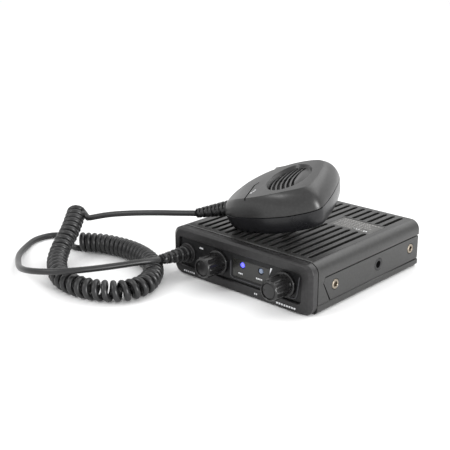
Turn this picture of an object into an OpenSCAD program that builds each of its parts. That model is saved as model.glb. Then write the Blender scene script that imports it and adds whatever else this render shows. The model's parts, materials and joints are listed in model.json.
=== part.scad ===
// Compact mobile transceiver with a corded hand microphone.
// Millimetres, +Z up, front towards -Y, origin at the centre of the case's underside.

/* [Case] */
// Width of the case
case_w = 100; // [92:1:130]
// Depth of the case, bezel to rear panel
case_d = 102; // [98:1:130]
// Height of the case
case_h = 28; // [26:1:36]
// Thickness of the side skirts
skirt_t = 1.8; // [1.4:0.1:2.2]
// Thickness of the slotted roof
roof_t = 2.4; // [1.8:0.1:3]
// Radius along the roof's long edges
roof_r = 5.6; // [3:0.1:6]
// Thickness of the bottom cover
base_t = 1.5; // [1.2:0.1:1.6]

/* [Slots] */
// Number of cooling slots
slot_count = 16; // [8:2:16]
// Distance from one slot to the next
slot_pitch = 5.3; // [4:0.1:5.4]
// Width of a slot
slot_w = 2.4; // [1.5:0.1:3]
// Margin in front of the slots
slot_front = 10.4; // [9:0.1:14]
// Margin behind the slots
slot_rear = 3.2; // [3:0.1:8]

/* [Label] */
// Width of the label plate's seat
label_w = 28.4; // [20:0.1:30]
// Depth of the label plate's seat, front to back
label_d = 15.6; // [10:0.1:18]
// Distance from the case's right side to the seat
label_right = 8.3; // [8:0.1:14]
// Distance from the rear of the case to the seat
label_rear = 23.7; // [20:0.1:30]

/* [Front] */
// Depth of the bezel
bezel_d = 5.4; // [5.2:0.1:7]
// Radius of the bezel's corners
bezel_r = 5.6; // [3:0.1:6]
// Bezel edge above the panel
rim_top = 5.5; // [4:0.1:6]
// Bezel edge below the panel
rim_bottom = 5.9; // [4:0.1:6]
// Bezel edge left of the panel
rim_left = 4.7; // [4:0.1:7]
// Bezel edge right of the panel
rim_right = 6.7; // [4:0.1:7]
// How far the panel lies behind the bezel's face
panel_inset = 1.3; // [1:0.1:1.6]
// Thickness of the front panel
panel_t = 2; // [1.6:0.1:2]
// Width of the display plate
display_w = 26; // [20:0.5:26]
// Height of the display plate
display_h = 10.6; // [8:0.1:11]
// Diameter of a lamp
lamp_d = 3.5; // [2:0.1:4]

/* [Knobs] */
// Diameter of a knob's grip
knob_d = 12; // [11:0.1:13]
// Diameter of a knob's skirt
knob_skirt_d = 14; // [13.4:0.1:15]
// Length of a knob
knob_len = 13.8; // [12:0.1:18]
// Diameter of a control's shaft
shaft_d = 4; // [3:0.1:5]
// Distance from the case's left side to the squelch control
squelch_left = 34.8; // [33:0.1:36]
// Distance from the case's right side to the volume control
volume_right = 18; // [17:0.1:18]

/* [Fasteners] */
// Diameter of a side screw's head
side_head_d = 5.5; // [5:0.1:6]
// Diameter of a side screw's shank
side_shank_d = 3; // [2.5:0.1:3]
// Bore of a bracket insert
insert_bore_d = 4.2; // [3.2:0.1:5]

/* [Rear] */
// Outer diameter of the antenna socket's thread
antenna_d = 15.88; // [12:0.01:16]
// Length of the antenna socket's thread
antenna_len = 12; // [8:0.5:14]
// Bore of the speaker jack
jack_bore_d = 3.56; // [2.5:0.01:3.8]

/* [Microphone] */
// Length of the microphone at its shell seam
mic_len = 61.5; // [58:0.5:75]
// Width of the microphone at its shell seam
mic_w = 56; // [50:0.5:64]
// Height of the face above the seam
mic_face_h = 12.2; // [11:0.1:15]
// Depth of the back shell below the seam
mic_back_h = 9; // [8:0.1:11]
// Thickness of the microphone's shells
mic_wall = 2; // [1.5:0.1:2.2]
// Travel of the push-to-talk button
ptt_travel = 1.5; // [1:0.1:2]
// Length of the push-to-talk button
ptt_len = 22; // [16:0.5:24]

/* [Cord] */
// Diameter of the cord
cord_d = 3.5; // [3:0.1:3.9]
// Outer diameter of the curly coil
coil_d = 12; // [10:0.5:13]

/* [Fits] */
// Gap between a shaft and its bush
run_gap = 0.05; // [0.01:0.01:0.1]
// Gap between fixed pieces that seat in each other
seat_gap = 0.15; // [0.1:0.05:0.25]
// Gap between pieces that move past each other
move_gap = 0.4; // [0.3:0.05:0.5]

/* [Hidden] */
$fn = 48;

// case edges
half_w = case_w / 2;
y_front = -case_d / 2;
y_rear = case_d / 2;
y_seam = y_front + bezel_d;
y_skirt = y_seam + seat_gap;
roof_z = case_h - roof_t;
in_w = half_w - skirt_t;
roof_in_r = roof_r - skirt_t;

// side flange of the bottom cover
flange_z0 = 5;
flange_z1 = case_h - 9.1;
flange_t = 1.5;
flange_out = half_w - 0.3;
flange_in = flange_out - flange_t;
base_chamfer = 1.8;
flange_shape = [[y_front + 17.1, flange_z0], [y_front + 10.8, flange_z1 - 2.6],
  [y_front + 12.1, flange_z1], [y_rear, flange_z1], [y_rear, flange_z0]];
screw_y = [y_front + 21, y_rear - 8.3];
screw_z = 12.9;
insert_y = y_front + 61;
insert_z = 12.5;
insert_d = insert_bore_d + 2.6;

// chassis
tray_out = flange_in - seat_gap;
tray_t = 2.4;
tray_in = tray_out - tray_t;
tray_z0 = base_t + seat_gap;
tray_floor = 1.5;
tray_top = flange_z1 + 1;
tray_front = y_front + 13;
tray_rear = y_rear - 4.4;

// front
panel_y = y_front + panel_inset;
panel_back = panel_y + panel_t;
panel_x0 = -half_w + rim_left;
panel_x1 = half_w - rim_right;
panel_z0 = rim_bottom;
panel_z1 = case_h - rim_top;
lip_t = 0.8;
lip_grow = 1.6;
face_back = panel_back + seat_gap;
display_x0 = -5.2;
display_z0 = 8.7;
display_t = 0.8;
lamp_x = [1.8, 15];
lamp_z = 16.4;
control_z = 14.1;
squelch_x = -half_w + squelch_left;
volume_x = half_w - volume_right;
bush_d = shaft_d + 2.8;
front_board_y = panel_back + lip_t + 2 * seat_gap;
front_board_t = 1.2;
front_board_half = in_w - 6.2;
pot_d = 12;
pot_len = 5.6;
pot_front = front_board_y + front_board_t + 0.1;
nut_t = 1.4;
nut_d = 8.6;
knob_back = panel_y - move_gap;
knob_front = knob_back - knob_len;
knob_hollow = nut_t + move_gap;
skirt_len = 1.4;
rib_r = 0.5;
rib_count = 12;

// boards and what stands on them
board_z = tray_z0 + tray_floor + 2.8;
board_t = 1.5;
board_top = board_z + board_t;
board_x = tray_in - 1.2;
board_y0 = tray_front + 3.4;
board_y1 = tray_rear - 2.4;
post_x = board_x - 5;
post_y = [board_y0 + 5, board_y1 - 5];
post_r = 3.2;
post_bore = 1.05;
board_screw_head = 4.6;
board_screw_shank = 2;
ribbon_half = 9;
ribbon_t = 0.8;
can_lo = [10, -14];
can_hi = [38, 18];
can_h = 5;
can_t = 0.6;
capacitor_x = [-30, -20];
capacitor_y = 30;
capacitor_d = 8;
capacitor_h = 10;
speaker_x = -17;
speaker_y = -2;
speaker_r = 18;

// rear
plate_t = 1.6;
plate_rear = y_rear - 0.8;
fin_count = 5;
fin_pitch = 2.4;
fin_t = 1.2;
fin_side = 4.6;
fin_z = 6;
fin_out = 1.4;
antenna_x = -22;
antenna_z = case_h / 2;
antenna_wall = 2;
antenna_collar = 1.6;
contact_r = 2.6;
contact_bore_r = 1.98;
inlet_x = 16;
inlet_w = 16;
inlet_h = 11;
inlet_z = 9;
jack_x = 38;
jack_z = 13;
jack_len = 12;
jack_nose_r = 3;
jack_tube_r = 2.9;
jack_out = 1.4;
jack_block = 4;

// microphone: s runs from tail to head, t to its left side, n out of its face
mic_at = [-28.2, -28.3, case_h + 9.45];
mic_turn = [0, 0, 23.1];
mic_pitch = [0, -15, 0];
mic_roll = [6.5, 0, 0];
half_mic = mic_w / 2;
seam_half = [[-3.5, half_mic - 22], [0, half_mic - 17.2], [10, half_mic - 10.6],
  [20, half_mic - 6.4], [31, half_mic - 2.2], [42, half_mic], [mic_len - 7, half_mic - 1],
  [mic_len - 2, half_mic - 2.6], [mic_len, half_mic - 6], [mic_len + 1.5, half_mic - 20]];
face_half = [[6, 6.5, 7.3], [12, 13, 9.2], [22, half_mic - 8.5, 10.9],
  [39, half_mic - 4.9, mic_face_h], [52, half_mic - 6.6, mic_face_h],
  [mic_len - 5.8, half_mic - 9, mic_face_h - 0.4]];
back_half = [[2, half_mic - 19], [14, half_mic - 10.5], [31, half_mic - 5], [44, half_mic - 3.4],
  [mic_len - 6, half_mic - 5], [mic_len - 3, half_mic - 10]];
grille_s = 41.5;
grille_count = 6;
grille_pitch = 2.9;
stud_s = 34;
stud_len = 8.05;
stud_d = 11;
stud_neck_d = 6.4;
post_drop = 4.6;
post_mic_r = 2.6;
stud_flange = 2.4;
stud_screw_r = 1.5;
boot_bore_r = 2;
mic_screw_at = [[10, 0], [mic_len - 11, 15], [mic_len - 11, -15]];
ptt_s = 24;
ptt_h = 6;
ptt_n = 4;
ptt_out = half_mic + 1.2;
ptt_depth = 8;
boot_start = -3.65;
boot_len = 15.8;
boot_r0 = 4.3;
boot_r1 = 2.7;
boot_ribs = 7;

// cord routes, points chosen by hand
coil_r = coil_d / 2;
gland_ring_r = 5.8;
gland_edge = 0.2;
gland_base = [panel_x0 + gland_ring_r + gland_edge, panel_y, 13.4];
gland_tip = gland_base + [-2.2, -19.3, 0.8];
gland_r0 = 4.8;
gland_r1 = 3;
gland_ribs = 5;
lead_radio = [gland_tip, [-43, -77, 15], [-46, -84, 15.2], [-50, -92, 15], [-56, -104, 15],
  [-63, -115, 15], [-73, -122.5, 14], [-86, -125.5, 12], [-100, -122, 9], [-115, -113, 6],
  [-130, -102, 3.6], [-142, -89, 2], [-149, -76, 2], [-148, -64, 2], [-140, -59, 2],
  [-129, -65, 2], [-120, -68.5, 2], [-116, -67, 2]];
coil_z = coil_r + 0.15;
coil_route = [[-116, -67, coil_z], [-102, -59, coil_z], [-81, -56, coil_z], [-60, -61, coil_z],
  [-45, -72, coil_z], [-36, -87, coil_z], [-38, -101, coil_z], [-50, -110, coil_z],
  [-66, -113, coil_z], [-80, -110, coil_z], [-93, -102, coil_z + 0.4], [-101, -95, 8],
  [-106, -88, 11.5], [-111, -78, 17], [-120, -65, 24]];
lead_mic = [[-115.5, -66.5, 21.5], [-110, -64.5, 22], [-98, -59, 25.5], [-85, -53.5, 28],
  [-70, -47, 30], [-56, -40.5, 31.3]];

// A point on the smooth curve through p, between point i and the next
function curve_at(p, i, t) = let(n = len(p) - 1, a = p[max(i - 1, 0)], b = p[i],
  c = p[min(i + 1, n)], d = p[min(i + 2, n)])
  0.5 * (2 * b + (c - a) * t + (2 * a - 5 * b + 4 * c - d) * t * t
    + (3 * b - a - 3 * c + d) * t * t * t);
// The whole curve through p, with k rings to each stretch
function smooth(p, k) = [for (i = [0 : len(p) - 2]) for (j = [0 : k - 1]) curve_at(p, i, j / k),
  p[len(p) - 1]];
function unit(v) = v / norm(v);
function heading(p, i) = unit(p[min(i + 1, len(p) - 1)] - p[max(i - 1, 0)]);
// Points of one ring of a tube
function ring(c, dir, r, sides) = let(u = unit(cross(dir, [0, 0, 1])), v = cross(u, dir))
  [for (k = [0 : sides - 1]) c + r * (u * cos(360 * k / sides) + v * sin(360 * k / sides))];
// Half outline given as [station, half width], closed by its mirror
function both_sides(h, inset) = concat([for (q = h) [q[0], -(q[1] - inset)]],
  [for (i = [len(h) - 1 : -1 : 0]) [h[i][0], h[i][1] - inset]]);

// Round tube swept along the points p
module tube(p, r, sides) {
  pts = [for (i = [0 : len(p) - 1]) each ring(p[i], heading(p, i), r, sides)];
  last = (len(p) - 1) * sides;
  walls = [for (i = [0 : len(p) - 2]) for (k = [0 : sides - 1])
    let(a = i * sides + k, b = i * sides + (k + 1) % sides) [a, b, b + sides, a + sides]];
  ends = [[for (k = [sides - 1 : -1 : 0]) k], [for (k = [0 : sides - 1]) last + k]];
  polyhedron(points = pts, faces = concat(walls, ends), convexity = 6);
}

// Flat shape drawn in X and Z, standing from y0 to y1
module along_y(y0, y1) {
  translate([0, y1, 0]) rotate([90, 0, 0]) linear_extrude(y1 - y0) children();
}
// Flat shape drawn in Y and Z, standing from x0 to x1
module along_x(x0, x1) {
  translate([x0, 0, 0]) rotate([90, 0, 90]) linear_extrude(x1 - x0) children();
}
module rod_y(x, z, r, y0, y1) {
  translate([x, y1, z]) rotate([90, 0, 0]) cylinder(r = r, h = y1 - y0);
}
module rod_x(y, z, r, x0, x1) {
  translate([x0, y, z]) rotate([0, 90, 0]) cylinder(r = r, h = x1 - x0);
}
module block(lo, hi) {
  translate(lo) cube(hi - lo);
}
module both_x() {
  children();
  mirror([1, 0, 0]) children();
}
// Rectangle with round corners, from corner lo to corner hi
module round_rect(lo, hi, r) {
  translate([lo[0] + r, lo[1]]) square([hi[0] - lo[0] - 2 * r, hi[1] - lo[1]]);
  translate([lo[0], lo[1] + r]) square([hi[0] - lo[0], hi[1] - lo[1] - 2 * r]);
  for (x = [lo[0] + r, hi[0] - r]) for (z = [lo[1] + r, hi[1] - r]) translate([x, z]) circle(r);
}
// Turns +Z to point from a to b, starting at a
module aim(a, b) {
  d = b - a;
  translate(a) rotate([0, acos(d[2] / norm(d)), atan2(d[1], d[0])]) children();
}
// Places a child drawn in the microphone's own axes
module on_mic() {
  translate(mic_at) rotate(mic_turn) rotate(mic_pitch) rotate(mic_roll) children();
}

// Slot with round ends, through the roof
module slot(x, y0, y1) {
  r = slot_w / 2;
  translate([0, 0, roof_z - 1]) linear_extrude(roof_t + 2) {
    translate([x - r, y0 + r]) square([slot_w, y1 - y0 - slot_w]);
    translate([x, y0 + r]) circle(r);
    translate([x, y1 - r]) circle(r);
  }
}

label_x1 = half_w - label_right;
label_x0 = label_x1 - label_w;
label_y1 = y_rear - label_rear;
label_y0 = label_y1 - label_d;
label_margin = 1.2;
label_seat = 0.5;

module slots() {
  y0 = y_front + slot_front;
  y1 = y_rear - slot_rear;
  for (i = [0 : slot_count - 1]) {
    x = (i - (slot_count - 1) / 2) * slot_pitch;
    at_label = x > label_x0 - slot_w && x < label_x1 + slot_w;
    if (at_label) {
      slot(x, y0, label_y0 - label_margin);
      slot(x, label_y1 + label_margin, y1);
    } else {
      slot(x, y0, y1);
    }
  }
}

module top_cover() color("#1c1c1e") difference() {
  along_y(y_skirt, y_rear) intersection() {
    round_rect([-half_w, -roof_r * 2], [half_w, case_h], roof_r);
    translate([-half_w, flange_z0 + seat_gap]) square([case_w, case_h]);
  }
  along_y(y_skirt - 1, y_rear + 1) round_rect([-in_w, -roof_r * 2], [in_w, roof_z], roof_in_r);
  both_x() along_x(in_w - 1, half_w + 1) polygon([for (q = flange_shape)
    [q[0] + (q[0] > 0 ? 1 : -seat_gap * 2), q[1] + (q[1] > flange_z0 ? seat_gap * 2 : -1)]]);
  slots();
  block([label_x0, label_y0, case_h - label_seat], [label_x1, label_y1, case_h + 1]);
}

module label_plate() color("#2b2b2d")
  block([label_x0 + seat_gap, label_y0 + seat_gap, case_h - label_seat],
    [label_x1 - seat_gap, label_y1 - seat_gap, case_h - label_seat + 0.35]);

module bottom_cover() color("#1a1a1c") difference() {
  union() {
    along_y(y_skirt, y_rear) difference() {
      polygon([[-half_w + base_chamfer, 0], [half_w - base_chamfer, 0], [half_w, base_chamfer],
        [half_w, flange_z0], [-half_w, flange_z0], [-half_w, base_chamfer]]);
      translate([-flange_in, base_t]) square([2 * flange_in, flange_z0]);
    }
    both_x() along_x(flange_in, flange_out) polygon(flange_shape);
  }
  both_x() {
    for (y = screw_y) {
      rod_x(y, screw_z, side_shank_d / 2 + seat_gap, flange_in - 1, half_w);
      rod_x(y, screw_z, side_head_d / 2 + seat_gap, flange_out - 1, half_w);
    }
    rod_x(insert_y, insert_z, insert_d / 2 + seat_gap, flange_in - 1, half_w);
    for (y = post_y) translate([post_x, y, -1]) cylinder(d = board_screw_head + 0.4, h = 2);
    for (y = post_y) translate([post_x, y, -1]) cylinder(d = board_screw_shank + 0.6, h = base_t + 2);
  }
}

module chassis() color("#77787c") difference() {
  union() {
    difference() {
      block([-tray_out, tray_front, tray_z0], [tray_out, tray_rear, tray_top]);
      block([-tray_in, tray_front + tray_t, tray_z0 + tray_floor],
        [tray_in, tray_rear - tray_t, tray_top + 1]);
    }
    both_x() {
      for (y = screw_y) rod_x(y, screw_z, 3.6, tray_in - 2, tray_out - 1);
      rod_x(insert_y, insert_z, insert_d / 2 + 2, tray_in - 2, tray_out - 1);
      for (y = post_y)
        translate([post_x, y, tray_z0 + 1]) cylinder(r = post_r, h = board_z - tray_z0 - 1);
    }
  }
  both_x() {
    for (y = screw_y) rod_x(y, screw_z, side_shank_d / 2 + run_gap, tray_in - 4, tray_out + 1);
    rod_x(insert_y, insert_z, insert_d / 2 + run_gap, tray_in - 4, tray_out + 1);
    for (y = post_y) translate([post_x, y, 0]) cylinder(r = post_bore, h = board_z + 1);
  }
  block([-12, tray_front - 1, 9], [12, tray_front + tray_t + 1, tray_top + 1]);
  rod_y(jack_x, jack_z, jack_tube_r + seat_gap, tray_rear - 4, tray_rear + 1);
}

module front_bezel() color("#1f1f21") difference() {
  union() {
    along_y(y_front + 1.6, y_seam) round_rect([-half_w, 0], [half_w, case_h], bezel_r);
    hull() {
      along_y(y_front + 1.5, y_front + 1.6) round_rect([-half_w, 0], [half_w, case_h], bezel_r);
      along_y(y_front, y_front + 0.1)
        round_rect([-half_w + 2.2, 0.8], [half_w - 2.2, case_h - 1], bezel_r - 0.8);
    }
  }
  along_y(y_front - 1, y_seam) round_rect([panel_x0, panel_z0], [panel_x1, panel_z1], 2);
  block([-in_w, face_back, 2], [in_w, y_seam + 1, case_h - 2.2]);
}

module pot_hole(x) { rod_y(x, control_z, bush_d / 2 + seat_gap, y_front, front_board_y + 9); }

module front_panel() color("#141416") difference() {
  union() {
    along_y(panel_y, panel_back) round_rect([panel_x0 + seat_gap * 2, panel_z0 + seat_gap * 2],
      [panel_x1 - seat_gap * 2, panel_z1 - seat_gap * 2], 1.8);
    along_y(face_back, face_back + lip_t) round_rect([panel_x0 - lip_grow, panel_z0 - lip_grow],
      [panel_x1 + lip_grow, panel_z1 + lip_grow], 2);
    along_y(panel_back - 0.1, panel_back + seat_gap + 0.1)
      round_rect([panel_x0 + 1, panel_z0 + 1], [panel_x1 - 1, panel_z1 - 1], 1.8);
  }
  pot_hole(squelch_x);
  pot_hole(volume_x);
  rod_y(gland_base[0], gland_base[2], 3.2, y_front, y_seam);
  block([display_x0, y_front, display_z0],
    [display_x0 + display_w, panel_y + display_t, display_z0 + display_h]);
  for (x = lamp_x) rod_y(x, lamp_z, lamp_d / 2 + seat_gap, y_front, y_seam);
}

module display_plate() color("#3a3a3a") difference() {
  block([display_x0 + seat_gap, panel_y + 0.15, display_z0 + seat_gap],
    [display_x0 + display_w - seat_gap, panel_y + display_t, display_z0 + display_h - seat_gap]);
  for (x = lamp_x) rod_y(x, lamp_z, lamp_d / 2 + seat_gap, y_front, y_seam);
  rod_y(volume_x, control_z, nut_d / 2 + 2, y_front, y_seam);
}

module lamp(x) { rod_y(x, lamp_z, lamp_d / 2, panel_y - 0.1, front_board_y); }
module power_lamp() color("#6e6eff") lamp(lamp_x[0]);
module transmit_lamp() color("#9aa6bd") lamp(lamp_x[1]);

module rear_panel() color("#202022") difference() {
  union() {
    along_y(plate_rear - plate_t, plate_rear) intersection() {
      round_rect([-in_w + seat_gap, -roof_r * 2], [in_w - seat_gap, roof_z - seat_gap], roof_in_r);
      translate([-half_w, tray_z0]) square([case_w, case_h]);
    }
    for (i = [0 : fin_count - 1]) translate([-half_w + fin_side + fin_pitch * i, 0, 0])
      block([0, plate_rear - 0.2, fin_z], [fin_t, y_rear + fin_out, case_h - fin_z]);
  }
  rod_y(antenna_x, antenna_z, antenna_d / 2 - 1, y_rear - 6, y_rear + 6);
  block([inlet_x - seat_gap, y_rear - 6, inlet_z - seat_gap],
    [inlet_x + inlet_w + seat_gap, y_rear + 6, inlet_z + inlet_h + seat_gap]);
  rod_y(jack_x, jack_z, jack_nose_r + seat_gap, y_rear - 6, y_rear + 6);
  both_x() block([flange_in - seat_gap, y_rear - 6, 0], [half_w, y_rear + 1, flange_z1 + seat_gap]);
}

module antenna_shell() color("#b9bcc0") difference() {
  union() {
    rod_y(antenna_x, antenna_z, antenna_d / 2 + antenna_collar, y_rear - 0.8, y_rear + 1);
    rod_y(antenna_x, antenna_z, antenna_d / 2, y_rear + 0.9, y_rear + 1 + antenna_len);
    rod_y(antenna_x, antenna_z, antenna_d / 2 - 1 - seat_gap, y_rear - 4, y_rear - 0.7);
  }
  rod_y(antenna_x, antenna_z, antenna_d / 2 - antenna_wall, y_rear - 5, y_rear + antenna_len + 2);
}
module antenna_insulator() color("#e8e4d8") difference() {
  rod_y(antenna_x, antenna_z, antenna_d / 2 - antenna_wall - run_gap, y_rear - 3.6,
    y_rear + antenna_len + 0.4);
  rod_y(antenna_x, antenna_z, contact_r + run_gap, y_rear - 5, y_rear + antenna_len + 2);
}
module antenna_contact() color("#c9a24a") difference() {
  rod_y(antenna_x, antenna_z, contact_r, y_rear - 4, y_rear + antenna_len + 0.4);
  rod_y(antenna_x, antenna_z, contact_bore_r, y_rear + 1, y_rear + antenna_len + 2);
}

pin_gap = 6;
module inlet_slots(grow, y0, y1) {
  for (k = [-1, 1]) {
    x = inlet_x + inlet_w / 2 + k * pin_gap / 2;
    block([x - 0.6 - grow, y0, inlet_z + 3 - grow], [x + 0.6 + grow, y1, inlet_z + 8 + grow]);
  }
}
module power_inlet() color("#18181a") difference() {
  block([inlet_x, y_rear - 3.8, inlet_z], [inlet_x + inlet_w, y_rear + 5, inlet_z + inlet_h]);
  inlet_slots(0.6, y_rear - 2, y_rear + 6);
  inlet_slots(run_gap, y_rear - 5, y_rear);
}
module power_pins() color("#c8ccd0") inlet_slots(0, y_rear - 4.2, y_rear + 4);

module speaker_jack() color("#8d8f93") difference() {
  union() {
    rod_y(jack_x, jack_z, jack_nose_r, y_rear - 1, y_rear + jack_out);
    block([jack_x - jack_block, tray_rear + 0.2, jack_z - jack_block],
      [jack_x + jack_block, y_rear - plate_t - 1, jack_z + jack_block]);
    rod_y(jack_x, jack_z, jack_tube_r, y_rear - plate_t - 1.1, y_rear);
    rod_y(jack_x, jack_z, jack_tube_r, y_rear - 10, tray_rear + 0.5);
  }
  rod_y(jack_x, jack_z, jack_bore_d / 2, y_rear + jack_out - jack_len + 1, y_rear + 2);
}

module main_board() color("#1d5a34") difference() {
  block([-board_x, board_y0, board_z], [board_x, board_y1, board_top]);
  both_x() {
    for (y = post_y) translate([post_x, y, board_z - 1]) cylinder(r = 1.3, h = board_t + 2);
    for (y = screw_y) block([tray_in - 2.4, y - 4, board_z - 1], [board_x + 1, y + 4, board_top + 1]);
    block([tray_in - 2.4, insert_y - 6, board_z - 1], [board_x + 1, insert_y + 6, board_top + 1]);
  }
}
module front_board() color("#1d5a34") difference() {
  block([-front_board_half, front_board_y, 6],
    [front_board_half, front_board_y + front_board_t, case_h - 6]);
  pot_hole(squelch_x);
  pot_hole(volume_x);
  rod_y(gland_base[0], gland_base[2], 3.4, y_front, y_seam + 5);
}
module ribbon_cable() color("#9a9ca0") {
  block([-ribbon_half, front_board_y + front_board_t, board_top + 3],
    [ribbon_half, board_y0 + 6, board_top + 3 + ribbon_t]);
  block([-ribbon_half, board_y0 + 6 - ribbon_t, board_top],
    [ribbon_half, board_y0 + 6, board_top + 3.1]);
}
module shield_can() color("#c4c7ca") difference() {
  wall = [can_t, can_t, 0];
  block(concat(can_lo, board_top), concat(can_hi, board_top + can_h));
  block(concat(can_lo, board_top - 1) + wall, concat(can_hi, board_top + can_h - can_t) - wall);
}
// Amplifier transistor: a moulded body on a wider flat leg plate
module power_transistor() color("#26262a") translate([0, board_y1 - 10, board_top]) {
  translate([-6, -4, 0]) cube([12, 8, 3.4]);
  translate([-9, -2.5, 0]) cube([18, 5, 0.8]);
}
module capacitors() color("#30353f") for (x = capacitor_x)
  translate([x, capacitor_y, board_top]) cylinder(d = capacitor_d, h = capacitor_h);

module pot(x) difference() {
  union() {
    rod_y(x, control_z, pot_d / 2, pot_front, pot_front + pot_len);
    rod_y(x, control_z, bush_d / 2, panel_y - nut_t - 0.3, pot_front + 0.1);
  }
  rod_y(x, control_z, shaft_d / 2 + run_gap, y_front - 4, pot_front + pot_len - 1);
}
module volume_pot() color("#7d8084") pot(volume_x);
module squelch_pot() color("#7d8084") pot(squelch_x);
module pot_nuts() color("#b4b7bb") for (x = [squelch_x, volume_x]) difference() {
  rod_y(x, control_z, nut_d / 2, panel_y - nut_t, panel_y);
  rod_y(x, control_z, bush_d / 2 + run_gap, panel_y - nut_t - 1, panel_y + 1);
}

// Knob with a hollow back, twelve grip ribs and a set-in front disc
module knob(x) difference() {
  union() {
    rod_y(x, control_z, knob_skirt_d / 2, knob_back - skirt_len, knob_back);
    rod_y(x, control_z, knob_d / 2 - rib_r + 0.1, knob_front, knob_back - skirt_len + 0.1);
    for (i = [0 : rib_count - 1]) {
      turn = 360 * i / rib_count;
      rod_y(x + (knob_d / 2 - rib_r) * cos(turn), control_z + (knob_d / 2 - rib_r) * sin(turn),
        rib_r, knob_front + 1.4, knob_back - skirt_len + 0.1);
    }
  }
  rod_y(x, control_z, knob_d / 2 - 1.4, knob_front - 1, knob_front + 0.5);
  rod_y(x, control_z, nut_d / 2 + move_gap, knob_back - knob_hollow, knob_back + 1);
  rod_y(x, control_z, shaft_d / 2 + run_gap, knob_front + 3, knob_back + 1);
}
module shaft(x) rod_y(x, control_z, shaft_d / 2, knob_front + 3.2, pot_front + pot_len - 1.4);
module volume_knob() color("#161618") knob(volume_x);
module squelch_knob() color("#161618") knob(squelch_x);
module volume_shaft() color("#a9acb0") shaft(volume_x);
module squelch_shaft() color("#a9acb0") shaft(squelch_x);

module speaker_frame() color("#3b3d40") translate([speaker_x, speaker_y, roof_z - 6.3]) difference() {
  union() {
    cylinder(r = speaker_r, h = 6);
    translate([0, 0, -1]) cylinder(r = 10, h = 1.1);
  }
  translate([0, 0, 0.8]) cylinder(r = speaker_r - 1.6, h = 6);
  translate([0, 0, -2]) cylinder(r = 8.6, h = 6);
}
module speaker_cone() color("#151515") translate([speaker_x, speaker_y, roof_z - 4.4])
  rotate_extrude() polygon([[0, 0], [6, 0], [16.2, 3.4], [16.2, 4], [5.8, 0.7], [0, 0.7]]);
module speaker_magnet() color("#55575a") translate([speaker_x, speaker_y, roof_z - 12.2]) {
  cylinder(r = 10, h = 4.85);
  cylinder(r = 3.2, h = 6.6);
}

// Screw along +X: countersunk-style flat head with a hex recess, head face at x1
module side_screw(y) difference() {
  union() {
    rod_x(y, screw_z, side_head_d / 2, flange_out - 0.95, half_w - 0.1);
    rod_x(y, screw_z, side_shank_d / 2, tray_in - 1.5, flange_out - 0.9);
  }
  translate([half_w - 0.8, y, screw_z]) rotate([0, 90, 0]) cylinder(d = 2.6, h = 2, $fn = 6);
}
module side_screws() color("#c3c5c8") both_x() for (y = screw_y) side_screw(y);
module bracket_inserts() color("#a98c4d") both_x() difference() {
  rod_x(insert_y, insert_z, insert_d / 2, tray_in - 2, flange_out);
  rod_x(insert_y, insert_z, insert_bore_d / 2, tray_in - 3, flange_out + 1);
}
module base_screws() color("#44464a") both_x() for (y = post_y) translate([post_x, y, 0.1]) {
  cylinder(d = board_screw_head, h = 0.9);
  cylinder(d = board_screw_shank, h = 4);
}
module board_screws() color("#b9bbbe") both_x() for (y = post_y) translate([post_x, y, board_top]) {
  cylinder(d = board_screw_head, h = 1.6);
  translate([0, 0, -board_t - 0.6]) cylinder(d = board_screw_shank, h = board_t + 0.7);
}

module gland_ring() color("#1a1a1c") difference() {
  union() {
    rod_y(gland_base[0], gland_base[2], gland_ring_r, panel_y - 1.2, panel_y);
    rod_y(gland_base[0], gland_base[2], gland_ring_r - 1, panel_y - 2, panel_y - 1.1);
  }
  rod_y(gland_base[0], gland_base[2], gland_r0 - 0.2, panel_y - 3, panel_y + 1);
}
// Ribbed strain relief from radius r0 to r1 over length h
module ribbed(r0, r1, h, ribs) {
  step = h / ribs;
  rotate_extrude() polygon(concat([[0, 0]],
    [for (i = [0 : ribs - 1]) let(ra = r0 + (r1 - r0) * i / ribs, z = i * step)
      each [[ra, z], [ra, z + step * 0.62], [ra - 0.7, z + step * 0.62], [ra - 0.7, z + step]]],
    [[r1, h], [0, h]]));
}
module cord_gland() color("#161618") {
  rod_y(gland_base[0], gland_base[2], 3, panel_y - 1, front_board_y + front_board_t + 1);
  rod_y(gland_base[0], gland_base[2], gland_r0 - 0.3, panel_y - 2.6, panel_y - 0.1);
  start = gland_base + [0, -2.2, 0];
  aim(start, gland_tip) ribbed(gland_r0 - 0.2, gland_r1, norm(gland_tip - start), gland_ribs);
}

module cord_lead_radio() color("#1b1b1d") tube(smooth(lead_radio, 2), cord_d / 2, 8);
module cord_coil() color("#1b1b1d") tube(smooth(coil_route, 2), coil_r, 12);
module cord_lead_mic() color("#1b1b1d") tube(smooth(concat(lead_mic, [lead_mic_end]), 2), cord_d / 2, 8);

// where the microphone's boot ends, in the row's axes
function turned(v, ax, ay, az) = let(
  a = [v[0], v[1] * cos(ax) - v[2] * sin(ax), v[1] * sin(ax) + v[2] * cos(ax)],
  b = [a[0] * cos(ay) + a[2] * sin(ay), a[1], -a[0] * sin(ay) + a[2] * cos(ay)])
  [b[0] * cos(az) - b[1] * sin(az), b[0] * sin(az) + b[1] * cos(az), b[2]];
lead_mic_end = mic_at + turned([boot_start - boot_len - 0.35, 0, 0], mic_roll[0], mic_pitch[1], mic_turn[2]);

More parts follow.
